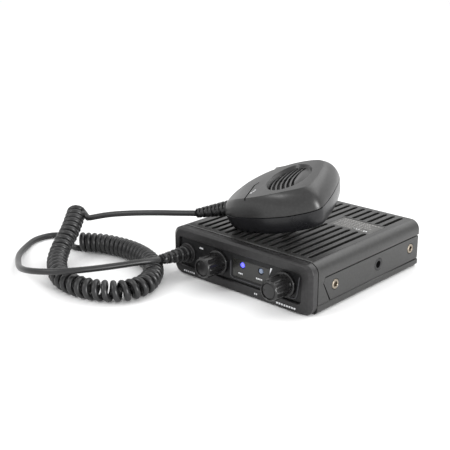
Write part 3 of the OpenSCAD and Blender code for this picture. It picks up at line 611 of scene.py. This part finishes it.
# %% Spin an outline
def spun(outline, steps):
    """A closed piece spun round +Y from an outline of (radius, place along Y), in millimetres."""
    bm = bmesh.new()
    verts = [bm.verts.new((r, y, 0)) for r, y in outline]
    edges = [bm.edges.new(pair) for pair in zip(verts, verts[1:])]
    bmesh.ops.spin(bm, geom=verts + edges, cent=(0, 0, 0), axis=(0, 1, 0), angle=2 * math.pi,
                   steps=steps, use_merge=True, use_duplicate=False)
    bmesh.ops.remove_doubles(bm, verts=bm.verts, dist=1e-4)
    bmesh.ops.recalc_face_normals(bm, faces=bm.faces)
    return bm


def swell(bm, rule):
    """Moves each point out from the Y axis by rule(angle in degrees, place along Y, radius)."""
    for v in bm.verts:
        radius = math.hypot(v.co.x, v.co.z)
        if radius > 1e-6:
            angle = math.degrees(math.atan2(v.co.z, v.co.x)) % 360
            grown = radius + rule(angle, v.co.y, radius)
            v.co.x *= grown / radius
            v.co.z *= grown / radius


def settle(bm, place=Matrix.Identity(4)):
    """Moves a bmesh from where it was drawn to its place, and turns its millimetres into metres."""
    bmesh.ops.transform(bm, matrix=Matrix.Scale(MM, 4) @ place, verts=bm.verts)


def joint_place(name):
    found = next(j for j in frame["joints"] if j["name"] == name)
    return Vector(found["pos_m"]) / MM

# %% The two knobs
# Each knob slides over its shaft with a little air in front of the panel. The grip has twelve narrow
# ribs, its end is set in behind a rim, and a small raised dot on the end shows how far it is turned.
# The dot itself is real. Its lighter, glossier frame finish is a painted highlight for the lit edge round the dark
# dot.
grip_r, rib_out, skirt_r, hollow_r = 5.45, 0.6, 7.0, 4.7
rib_turn, rib_flat, rib_slope = 30, 3.0, 1.6
knob_gap = 0.4
dot_r, dot_flat, dot_out, dot_y = 0.7, 0.35, 3.0, -13.36
knob_outline = [(0, -13.35), (3.8, -13.35), (3.95, -13.3), (4.0, -12.5), (4.4, -12.5), (4.45, -13.65),
                (4.65, -13.8), (4.95, -13.75), (5.2, -13.5), (5.38, -13.1), (grip_r, -12.6), (grip_r, -12.3),
                (grip_r, -11.9), (grip_r, -7), (grip_r, -2.6), (grip_r, -2.0), (grip_r + 0.05, -1.75),
                (6.0, -1.6), (6.7, -1.55), (6.92, -1.4), (skirt_r, -1.1), (skirt_r, -0.3), (6.85, -0.05),
                (6.6, 0), (5.2, 0), (hollow_r, -0.1), (hollow_r, -1.8), (0, -1.8)]


def rib(angle, along, radius):
    """Ribs on the grip, full height between its ends."""
    if not (grip_r - 0.02 < radius < grip_r + 0.08 and -12.5 < along < -1.8):
        return 0
    off = abs((angle + rib_turn / 2) % rib_turn - rib_turn / 2)
    crest = max(0.0, 1 - max(0.0, off - rib_flat) / rib_slope)
    ends = min(1.0, (along + 12.6) / 0.5)
    return rib_out * crest * ends


def knob(name, joint, body, dot_at, nodes):
    """A knob on its joint's axis, with its dot dot_at degrees round from the right."""
    hub = joint_place(joint)
    bm = spun(knob_outline, 144)
    swell(bm, rib)
    dot = bmesh.ops.create_icosphere(bm, subdivisions=2, radius=dot_r)["verts"]
    turn = math.radians(dot_at)
    bmesh.ops.scale(bm, vec=(1, dot_flat, 1), verts=dot)
    bmesh.ops.translate(bm, vec=(dot_out * math.cos(turn), dot_y, dot_out * math.sin(turn)), verts=dot)
    for face in {f for v in dot for f in v.link_faces}:
        face.material_index = 1
    settle(bm, Matrix.Translation((hub.x, hub.y - knob_gap, hub.z)))
    made = dress(piece(bm, name, body, "knob_plastic", nodes, smooth=45))
    # The dot's lighter finish is a painted highlight, standing in for the lit edge of the real dark dot.
    made.data.materials.append(frame_finish)


knob("volume_grip", "volume_turn", "volume", 178, ["volume_knob"])
knob("squelch_grip", "squelch_turn", "squelch", 140, ["squelch_knob"])
print("knobs at", [tuple(round(c, 1) for c in joint_place(j)) for j in ("volume_turn", "squelch_turn")])

# %% [markdown]
# ### Strain reliefs
#
# A strain relief has to bend but not kink, so it is moulded as a row of thin rings that get smaller
# towards the cord, joined by small bridges at the sides. Separate rings could be stacked along a line,
# but the real one is a single moulding: here the outline dips between the rings, and the bridges are left
# standing where the dip would be.

# %% Rings and bridges
def relief(length, r0, r1, rings):
    """A ribbed sleeve along +Y from the origin, thick end first."""
    step = length / rings
    outline = [(0, 0), (r0 * 0.9, 0)]
    for i in range(rings):
        r = r0 + (r1 - r0) * i / (rings - 1)
        y = i * step
        outline += [(r - 0.15, y + 0.02 * step), (r, y + 0.12 * step), (r, y + 0.5 * step),
                    (r - 0.15, y + 0.56 * step), (r - 1.1, y + 0.62 * step), (r - 1.1, y + 0.96 * step)]
    outline += [(r1 - 0.15, length), (r1 * 0.7, length + 0.25), (0, length + 0.25)]
    bm = spun(outline, 72)

    def bridge(angle, along, radius):
        """Fills a dip at two opposite sides, a quarter turn on from one dip to the next."""
        i = min(rings - 1, max(0, int(along / step)))
        full = r0 + (r1 - r0) * i / (rings - 1)
        in_dip = along / step - i > 0.6 and radius < full - 0.8 and radius > 1 and along < length
        side = (angle + (90 if i % 2 else 0)) % 180
        return 0.9 if in_dip and min(side, 180 - side) < 24 else 0
    swell(bm, bridge)
    return bm


def pointing(start, end):
    """Turns +Y towards end and moves the origin to start."""
    way = (end - start).normalized()
    return Matrix.Translation(start) @ way.to_track_quat("Y", "Z").to_matrix().to_4x4()


gland_x, gland_z = -39.3, 13.4
gland_start = Vector((gland_x, -51.6, gland_z))
gland_tip = Vector((-41.5, -69, 14.2))
bm = relief((gland_tip - gland_start).length, 4.7, 3.0, 5)
settle(bm, pointing(gland_start, gland_tip))
gland = dress(piece(bm, "gland_sleeve", "radio", "cord_rubber", ["cord_gland"], smooth=45))

# %% The ring that clamps the gland to the panel
ring_outline = [(5.75, 0), (5.95, -0.2), (5.95, -0.7), (5.7, -0.95), (5.15, -1.0), (5.1, -1.35),
                (4.9, -1.9), (4.5, -2.05), (3.9, -2.05), (3.6, -1.7), (3.6, 0)]
bm = spun(ring_outline + [ring_outline[0]], 96)
settle(bm, Matrix.Translation((gland_x, panel_y, gland_z)))
dress(piece(bm, "gland_collar", "radio", "bezel_plastic", ["gland_ring"], smooth=45))
print("gland", round((gland_tip - gland_start).length, 1), "mm long")

# %% [markdown]
# ## The microphone's shells
#
# The microphone is two moulded halves that meet at a seam. The front half rises from the seam to a nearly
# flat face with a crisp edge, and the back half narrows to a flat back. A subdivision surface over a
# coarse cage gives such a form, but it would round the face's edge away. Here three outlines are drawn,
# at the seam, the face and the back, and one loop of points is pushed out ring by ring between them. The
# face then closes in on the middle of the grille, where the rings are dense enough to hold its slots.

# %% The three outlines
# Each is half an outline, from the tail to the head: (place along the microphone, half width).
face_outline = [(4.2, 0), (4.6, 4), (6.5, 7.5), (12, 13.3), (22, 19.5), (31, 22.2), (39, 23.1),
                (47, 22.6), (52.5, 21.2), (55.6, 18.6), (56.9, 15), (57.4, 8), (57.6, 0)]
seam_outline = [(0.2, 0), (0.5, 5.5), (2.6, 10.3), (10.2, 16.8), (20.5, 21.8), (31, 25.8), (42, 28),
                (50, 27.9), (56.8, 26.6), (60.8, 24.2), (62.4, 20), (63.5, 10), (63.8, 0)]
back_outline = [(4.0, 0), (4.2, 4), (6, 8.5), (13, 15.4), (22, 20), (31, 23.4), (42, 25.2),
                (49, 25), (54.6, 23.6), (57.8, 21), (59, 17), (59.8, 8.5), (60, 0)]
face_height = [(0, 5.2), (4.2, 6.6), (6, 7.3), (12, 9.2), (22, 10.9), (39, 12.2), (52, 12.2), (60, 11.3)]
mic_place = (Matrix.Translation((-28.2, -28.3, 37.45)) @ Matrix.Rotation(math.radians(23.1), 4, "Z")
             @ Matrix.Rotation(math.radians(-15), 4, "Y") @ Matrix.Rotation(math.radians(6.5), 4, "X"))
around = 288
seam_round, lip = 0.45, 0.3


def between(table, x):
    """The value at x in a table of (x, value), along a smooth curve."""
    for i in range(len(table) - 1):
        if x <= table[i + 1][0] or i == len(table) - 2:
            (x0, y0), (x1, y1) = table[i], table[i + 1]
            before = table[max(i - 1, 0)]
            after = table[min(i + 2, len(table) - 1)]
            t = min(1, max(0, (x - x0) / (x1 - x0)))
            slope0 = (y1 - before[1]) / (x1 - before[0])
            slope1 = (after[1] - y0) / (after[0] - x0)
            run = x1 - x0
            return ((2 * t ** 3 - 3 * t ** 2 + 1) * y0 + (t ** 3 - 2 * t ** 2 + t) * run * slope0
                    + (3 * t ** 2 - 2 * t ** 3) * y1 + (t ** 3 - t ** 2) * run * slope1)


def loop_of(half, count):
    """The closed outline, as count points, from the tail round by the button's side."""
    full = [Vector((s, t, 0)) for s, t in half] + [Vector((s, -t, 0)) for s, t in half[-2:0:-1]]
    n = len(full)
    out = []
    for k in range(count):
        at = k * n / count
        i, t = int(at), at - int(at)
        a, b, c, d = full[(i - 1) % n], full[i], full[(i + 1) % n], full[(i + 2) % n]
        out.append(0.5 * (2 * b + (c - a) * t + (2 * a - 5 * b + 4 * c - d) * t * t
                          + (3 * b - a - 3 * c + d) * t ** 3))
    return out


face_loop = loop_of(face_outline, around)
seam_loop = loop_of(seam_outline, around)
back_loop = loop_of(back_outline, around)
print("outlines:", around, "points each")

# %% Relief of the face: a shallow dish, and curved grille slots
grille_at = Vector((41.5, 0, 0))
grille_slots = 6
slot_pitch, slot_half, slot_deep, slot_bow, slot_soft = 2.8, 0.66, 2.4, 0.013, 0.16
slots_back = 4.9
dish_at, dish_long, dish_wide, dish_deep = 40.6, 12.6, 18.5, 1.6
dome_low, dome_high, dome_share = 43, 48, 0.55


def ramp(x, low, high):
    """Goes smoothly from 0 at low to 1 at high."""
    t = min(1.0, max(0.0, (x - low) / (high - low)))
    return t * t * (3 - 2 * t)


def relief_at(s, t):
    """How far the face is pushed in at a point. Beyond the slots, a low dome rises again in the dish."""
    e = ((s - dish_at) / dish_long) ** 2 + (t / dish_wide) ** 2
    depth = dish_deep * (ramp(e, 1.02, 0.86) - dome_share * ramp(s, dome_low, dome_high) * ramp(e, 0.8, 0.1))
    for i in range(grille_slots):
        middle = grille_at.x + (i - (grille_slots - 1) / 2) * slot_pitch + slot_bow * t * t - slots_back
        off = abs(s - middle)
        depth += slot_deep * ramp(off, slot_half + slot_soft, slot_half - slot_soft) * ramp(e, 0.86, 0.78)
    return depth

# %% The front shell
wall_curve = [(1, 1), (0.998, 0.965), (0.99, 0.91), (0.965, 0.8), (0.91, 0.66), (0.82, 0.51), (0.7, 0.37),
              (0.55, 0.25), (0.4, 0.155), (0.25, 0.085), (0.16, 0.05), (0.1, 0.027), (0.05, 0.01),
              (0.02, 0.002), (0, 0)]
rings_in = 86


def front_rings():
    """The rings from the seam up the wall to the face, and in to the grille's middle."""
    rings = [[p + (grille_at - p).normalized() * seam_round for p in seam_loop]]
    for out, down in wall_curve:
        ring = []
        for f, s in zip(face_loop, seam_loop):
            p = f.lerp(s, out)
            ring.append(Vector((p.x, p.y, between(face_height, f.x) * (1 - down) + lip * down)))
        rings.append(ring)
    for k in range(1, rings_in):
        ring = []
        for f in face_loop:
            p = f.lerp(grille_at, k / rings_in)
            ring.append(Vector((p.x, p.y, between(face_height, p.x) - relief_at(p.x, p.y))))
        rings.append(ring)
    return rings


button_low, button_high = Vector((24, 21.2, 4)), Vector((46, 29.2, 10))
button_gap, button_travel = 0.4, 1.6
window = box_of(button_low - Vector((button_gap, button_travel + button_gap, button_gap)),
                button_high + Vector((button_gap, 4, button_gap)))
line_s, line_wide, line_low, line_high = 19.4, 0.95, 9.3, 14
line = box_of((line_s - line_wide / 2, -19.6, line_low), (line_s + line_wide / 2, 1.1, line_high))
line_end = box_of((-line_wide / 2, 0, line_low), (line_wide / 2, 3.6, line_high))
bmesh.ops.rotate(line_end, matrix=Matrix.Rotation(math.radians(-33), 3, "Z"), cent=(0, 0, 0),
                 verts=line_end.verts)
bmesh.ops.translate(line_end, vec=(line_s, 0.6, 0), verts=line_end.verts)
bm = cut_away(cut_away(skin(front_rings()), joined(window, line)), line_end)
settle(bm, mic_place)
shell = dress(piece(bm, "mic_front", "microphone", "mic_plastic", ["mic_front_shell"], smooth=32))
print("front shell:", len(shell.data.polygons), "faces")

# %% The back shell
# It bulges a little between the seam and the flat back. Its three screws sit in counterbores.
# It takes a darker copy of the shell plastic: painted shade for the half that faces down.
back_curve = [(0, 0), (0.02, 0.06), (0.05, 0.14), (0.12, 0.32), (0.25, 0.56), (0.42, 0.76), (0.62, 0.9),
              (0.8, 0.965), (0.92, 0.99), (1, 1)]
back_deep = -10.2
well_r, well_deep = 2.35, 2.05
seam_gap = Vector((0, 0, -0.05))


def back_rings():
    """The rings from the seam down the wall to the back, and a little way in over it."""
    rings = [[p + (grille_at - p).normalized() * seam_round + seam_gap for p in seam_loop]]
    for inward, down in back_curve:
        rings.append([s.lerp(b, inward) + Vector((0, 0, -lip + (back_deep + lip) * down))
                      for s, b in zip(seam_loop, back_loop)])
    for share in (0.012, 0.05, 0.12):
        rings.append([b.lerp(grille_at, share) + Vector((0, 0, back_deep)) for b in back_loop])
    return rings


def well(s, t):
    """A peg that leaves a screw's counterbore in the back."""
    bm = bmesh.new()
    bmesh.ops.create_cone(bm, cap_ends=True, segments=40, radius1=well_r, radius2=well_r, depth=2 * well_deep)
    bmesh.ops.translate(bm, vec=(s, t, back_deep), verts=bm.verts)
    return bm


wells = joined(*[well(s, t) for s, t in ((10, 0), (50.5, 15), (50.5, -15))])
bm = cut_away(skin(back_rings()), wells)
settle(bm, mic_place)
dress(piece(bm, "mic_back", "microphone", "mic_plastic", ["mic_back_shell"], smooth=32), shaded_back_finish)

# %% Boot and talk button
boot_start, boot_long = 0.8, 20.2
bm = relief(boot_long, 4.5, 2.9, 8)
bmesh.ops.rotate(bm, matrix=Matrix.Rotation(math.radians(90), 3, "Z"), cent=(0, 0, 0), verts=bm.verts)
bmesh.ops.translate(bm, vec=(boot_start, 0, 0), verts=bm.verts)
settle(bm, mic_place)
dress(piece(bm, "mic_relief", "microphone", "cord_rubber", ["mic_boot"], smooth=45))

ridges = [box_of((s - 0.45, 28.6, 5.3), (s + 0.45, 29.2, 8.7), 0.25) for s in (29, 32, 35, 38, 41)]
bm = joined(box_of(button_low, button_high - Vector((0, 0.3, 0)), 0.8), *ridges)
settle(bm, mic_place)
dress(piece(bm, "talk_button", "ptt", SLOT_OF["ptt_button"], ["ptt_button"], smooth=40))
print("boot and button made")

# %% [markdown]
# ## Antenna socket
#
# The socket's outside is a real screw thread, so it is one helix and not a stack of rings. The outline is
# spun in fine steps, and every point of the threaded part is then moved in or out by where it stands
# along the helix.

# %% The socket's thread
thread_pitch, thread_deep = 1.06, 0.45
socket_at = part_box("antenna_insulator")
socket_x = (socket_at[0][0] + socket_at[1][0]) / 2 / MM
socket_z = (socket_at[0][2] + socket_at[1][2]) / 2 / MM
socket_r, bore_r = 7.94, 5.94
root_y, mouth_y = 52.0, 64.0
rows, root_gap = 100, 0.2
thread_side = [(socket_r, root_y + root_gap + (mouth_y - root_y - root_gap) * i / rows)
               for i in range(rows + 1)]
flange_side = [(bore_r, 47), (6.75, 47), (6.75, 50.2), (9.3, 50.2), (9.54, 50.4), (9.54, 51.8), (9.3, 52.0),
               (8.1, 52.05)]
mouth = [(7.2, mouth_y), (bore_r + 0.3, mouth_y), (bore_r, mouth_y - 0.3), (bore_r, 47)]


def thread(angle, along, radius):
    """How far the threaded side is cut in, less so at both of its ends."""
    if abs(radius - socket_r) > 1e-3:
        return 0
    turn = (along / thread_pitch + angle / 360) % 1
    ends = min(1, (along - root_y) / 0.8, (mouth_y - along) / 0.8 + 0.6)
    return -thread_deep * abs(2 * turn - 1) * max(0, ends)


bm = spun(flange_side + thread_side + mouth, 96)
swell(bm, thread)
settle(bm, Matrix.Translation((socket_x, 0, socket_z)))
dress(piece(bm, "socket_thread", "radio", "nickel", ["antenna_shell"], smooth=50))
print("socket at", round(socket_x, 2), round(socket_z, 2))

# %% [markdown]
# ## Small things on the front and the roof
#
# A thin frame stands round the display and the volume knob, and a few white pad-printed signs mark the
# controls. The signs are left generic: short bars and a wedge, and no words. Ink is so thin that
# it could be a mask in a material, but then it would be lost from the mesh, so each sign is a pad a few
# hundredths of a millimetre thick.

# %% The raised frame
bead_r = 0.45
frame_path = [(-6.4, 17.6), (-6.5, 9.2), (-6.2, 8.2), (-5.4, 7.6), (-4.4, 7.4), (36.5, 7.4), (38, 7.6),
              (39, 8.2), (39.6, 9.2), (41.2, 20.4)]
bm = tube([Vector((x, panel_y + 0.05, z)) for x, z in frame_path], bead_r, 12)
settle(bm)
dress(piece(bm, "display_frame", "radio", "knob_plastic", (), smooth=60), frame_finish)

# %% Pad-printed signs
ink_in, ink_out = 0.02, 0.03


def dashes(x0, x1, z, tall, count, y, share):
    """A row of bars on the face at y, from x0 to x1. Each fills its share of its step."""
    step = (x1 - x0) / count
    return [box_of((x0 + i * step, y - ink_out, z - tall / 2),
                   (x0 + (i + share) * step, y + ink_in, z + tall / 2)) for i in range(count)]


def printed(name, parts, ink, slot="insulator_white", body="radio", place=Matrix.Identity(4)):
    """One piece made of many thin pads."""
    bm = joined(*parts)
    settle(bm, place)
    dress(piece(bm, name, body, slot, (), smooth=0), ink)


film_y = panel_y + 0.15
wedge_corners = [(21.0, 15.9), (21.7, 20.2), (23.0, 20.1)]
signs = []
signs += dashes(-30.2, -27.2, 18.6, 1.0, 3, panel_y, 0.7)
signs += dashes(-0.9, 2.3, 11.3, 0.9, 3, film_y, 0.75)
signs += dashes(11.7, 16.3, 11.6, 0.9, 4, film_y, 0.7)
signs += [slab([(x, panel_y + ink_in, z) for x, z in wedge_corners], (0, -ink_in - ink_out, 0))]
signs += dashes(-41.6, -32.6, 2.7, 0.9, 6, bezel_y, 0.6)
signs += dashes(11.8, 14.2, 3.2, 0.9, 2, bezel_y, 0.6)
signs += dashes(27.0, 40.4, 2.5, 1.0, 8, bezel_y, 0.7)
printed("front_signs", signs, white_ink)

# %% The label's signs
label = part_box("label_plate")
label_low, label_high = Vector(label[0]) / MM, Vector(label[1]) / MM


def print_row(start, end, back, tall, count, share=0.7):
    """Short bars on the label, from start to end across it, at a distance from its rear edge."""
    y = label_high.y - back
    step = (end - start) / count
    return [box_of((label_low.x + start + i * step, y - tall / 2, label_high.z - 0.05),
                   (label_low.x + start + (i + share) * step, y + tall / 2, label_high.z + 0.03))
            for i in range(count)]


embossed = []
for row in range(6):
    embossed += print_row(1.6 + (row % 2) * 0.5, 26.2 - (row * 5) % 7, 1.9 + row * 2.3, 1.25, 13 + row % 3)
printed("label_relief", embossed, label_print, slot="label_film")
marks = print_row(15.5, 20.5, 13.2, 1.5, 3, 0.6) + print_row(22.5, 25.5, 13.2, 1.3, 2, 0.6)
printed("label_signs", marks, white_ink)
print("signs:", len(signs), "in front and", len(marks), "on the label")

# %% A small sign on the microphone's face
face_marks = []
for i, (s, t) in enumerate(((21.6, -12.2), (22.4, -10.4), (22.8, -8.9))):
    z = between(face_height, s)
    face_marks.append(box_of((s - 0.9 + 0.2 * i, t - 0.5, z - 0.3), (s + 0.9, t + 0.4, z + 0.05)))
printed("mic_sign", face_marks, white_ink, body="microphone", place=mic_place)

# %% Two domed lamps
lens_r, lens_z = 1.45, 16.4
for name, replaced, slot, x in (("blue_lens", "power_lamp", "lamp_blue", 1.8),
                                ("pale_lens", "transmit_lamp", "lamp_pale", 15.0)):
    bm = spun([(0, -0.32), (0.7, -0.28), (1.15, -0.12), (lens_r, 0.2), (lens_r, 2.4), (0, 2.4)], 48)
    settle(bm, Matrix.Translation((x, panel_y + 0.1, lens_z)))
    dress(piece(bm, name, "radio", slot, [replaced], smooth=50))
print("lamps:", 2 * lens_r, "mm across")

# %% [markdown]
# ## The cord
#
# The real cord is one length of round rubber cable. Its middle was wound on a rod and heated, so it
# springs back into a curl, and the leads at its two ends stay straight. A curl could be a texture or an
# array of rings, but then it wouldn't be one cable. Here the curl's own axis is drawn first, and the
# cable's centre line is wound round it at a pitch that opens where the coil is stretched.

# %% Where the cord goes
cord_d = 3.5
coil_d = 12
coil_z = coil_d / 2 + 0.15
lead_from_radio = [tuple(gland_tip), (-43, -77, 15), (-46, -84, 15.2), (-50, -92, 15), (-56, -104, 15),
                   (-63, -115, 15), (-73, -122.5, 14), (-86, -125.5, 12), (-100, -122, 9),
                   (-115, -113, 6), (-130, -102, 3.6), (-142, -89, 2), (-149, -76, 2),
                   (-148, -64, 2), (-140, -59, 2), (-129, -65, 2), (-120, -68.5, 2)]
coil_axis = [(-116, -67, coil_z), (-102, -59, coil_z), (-81, -56, coil_z), (-60, -61, coil_z),
             (-45, -72, coil_z), (-36, -87, coil_z), (-38, -101, coil_z), (-50, -110, coil_z),
             (-66, -113, coil_z), (-80, -110, coil_z), (-93, -102, coil_z + 0.4), (-101, -95, 8),
             (-106, -88, 11.5), (-111, -78, 17), (-120, -65, 24)]
coil_pitch = [3.7, 3.7, 3.75, 3.9, 4.2, 4.6, 4.8, 5.0, 5.2, 5.1, 4.6, 4.1, 3.8, 3.65, 3.6]
lead_to_microphone = [(-110, -64.5, 22), (-98, -59, 25.5), (-85, -53.5, 28), (-70, -47, 30),
                      (-56, -40.5, 31.3), (-45.8, -35.8, 32.3)]


def wind(axis, pitches, radius, per_turn):
    """The cable's centre line, wound round the axis from its lowest side."""
    steps = 40
    point_turn = 2 * math.pi / per_turn
    line = catmull(axis, steps)
    pitch = catmull([(p, 0, 0) for p in pitches], steps)
    out = []
    angle, travelled, due = 0.0, 0.0, 0.0
    side = None
    for i in range(len(line) - 1):
        ahead = line[i + 1] - line[i]
        heading = ahead.normalized()
        down = Vector((0, 0, -1)) if side is None else side
        side = (down - heading * down.dot(heading)).normalized()
        across = heading.cross(side)
        turn_here = 2 * math.pi * ahead.length / pitch[i].x
        parts = max(1, math.ceil(turn_here / point_turn * 4))
        for k in range(parts):
            if angle >= due:
                centre = line[i] + ahead * (k / parts)
                out.append(centre + radius * (side * math.cos(angle) + across * math.sin(angle)))
                due += point_turn
            angle += turn_here / parts
            travelled += ahead.length / parts
    print("coil:", round(angle / (2 * math.pi), 1), "turns along", round(travelled), "mm")
    return out


coiled = wind(coil_axis, coil_pitch, (coil_d - cord_d) / 2, 14)
centre_line = catmull(lead_from_radio, 4) + coiled + catmull(lead_to_microphone, 6)
cord_path = [p * MM for p in centre_line]
cord_length = sum((b - a).length for a, b in zip(cord_path, cord_path[1:]))
print("cord:", len(cord_path), "points,", round(cord_length, 3), "m")

# %% The cord's mesh
# The blend goes along the straight line between its two points, and all that lies beyond the end follows
# the microphone. The gland's end of the cord and a part of the coil lie there, so they rise too when the
# microphone lifts. This is a known fault: the cord leaves the gland.
cord = piece(tube(cord_path, cord_d / 2 * MM, 12), "curly_cord", None, "cord_rubber",
             ["cord_lead_radio", "cord_coil", "cord_lead_mic"], smooth=0)
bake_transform(cord)
dress(cord)

# %% [markdown]
# ## Floor and light
#
# The object stands on white paper under a big soft box, with white walls all round. A white sky gives
# the fill, and three area lights give the long soft highlights that show where plastic turns a corner.

# %% Floor, sky and lamps
bpy.context.scene.view_settings.view_transform = "Standard"


def floor():
    """A sheet of white paper that reaches past the picture."""
    bm = bmesh.new()
    bmesh.ops.create_grid(bm, x_segments=8, y_segments=8, size=6)
    made = linked("floor", mesh_of(bm, "floor"))
    paper = bpy.data.materials.new("white_paper")
    paper.use_nodes = True
    shader = paper.node_tree.nodes["Principled BSDF"]
    shader.inputs["Base Color"].default_value = (0.93, 0.93, 0.93, 1)
    shader.inputs["Roughness"].default_value = 0.9
    made.data.materials.append(paper)


def lamp(name, place, aim, size, watts):
    """A soft box at a place, turned towards aim."""
    data = bpy.data.lights.new(name, "AREA")
    data.shape = "RECTANGLE"
    data.size, data.size_y = size
    data.energy = watts
    made = linked(name, data)
    made.rotation_mode = "QUATERNION"
    made.location = Vector(place)
    made.rotation_quaternion = (Vector(aim) - Vector(place)).to_track_quat("-Z", "Y")


floor()
sky = bpy.data.worlds.new("white_room")
sky.use_nodes = True
sky_light = sky.node_tree.nodes["Background"].inputs
sky_light["Color"].default_value = (1, 1, 1, 1)
sky_light["Strength"].default_value = 1.03
bpy.context.scene.world = sky
lamp("soft_box", (0.1, 0.7, 0.9), (-0.05, -0.02, 0), (1.1, 0.9), 5)
lamp("side_box", (1.4, -0.1, 0.3), (0, 0, 0.02), (0.6, 0.5), 16)
lamp("key_box", (-0.36, -0.82, 0.76), (0, 0, 0.03), (0.26, 0.26), 2.4)
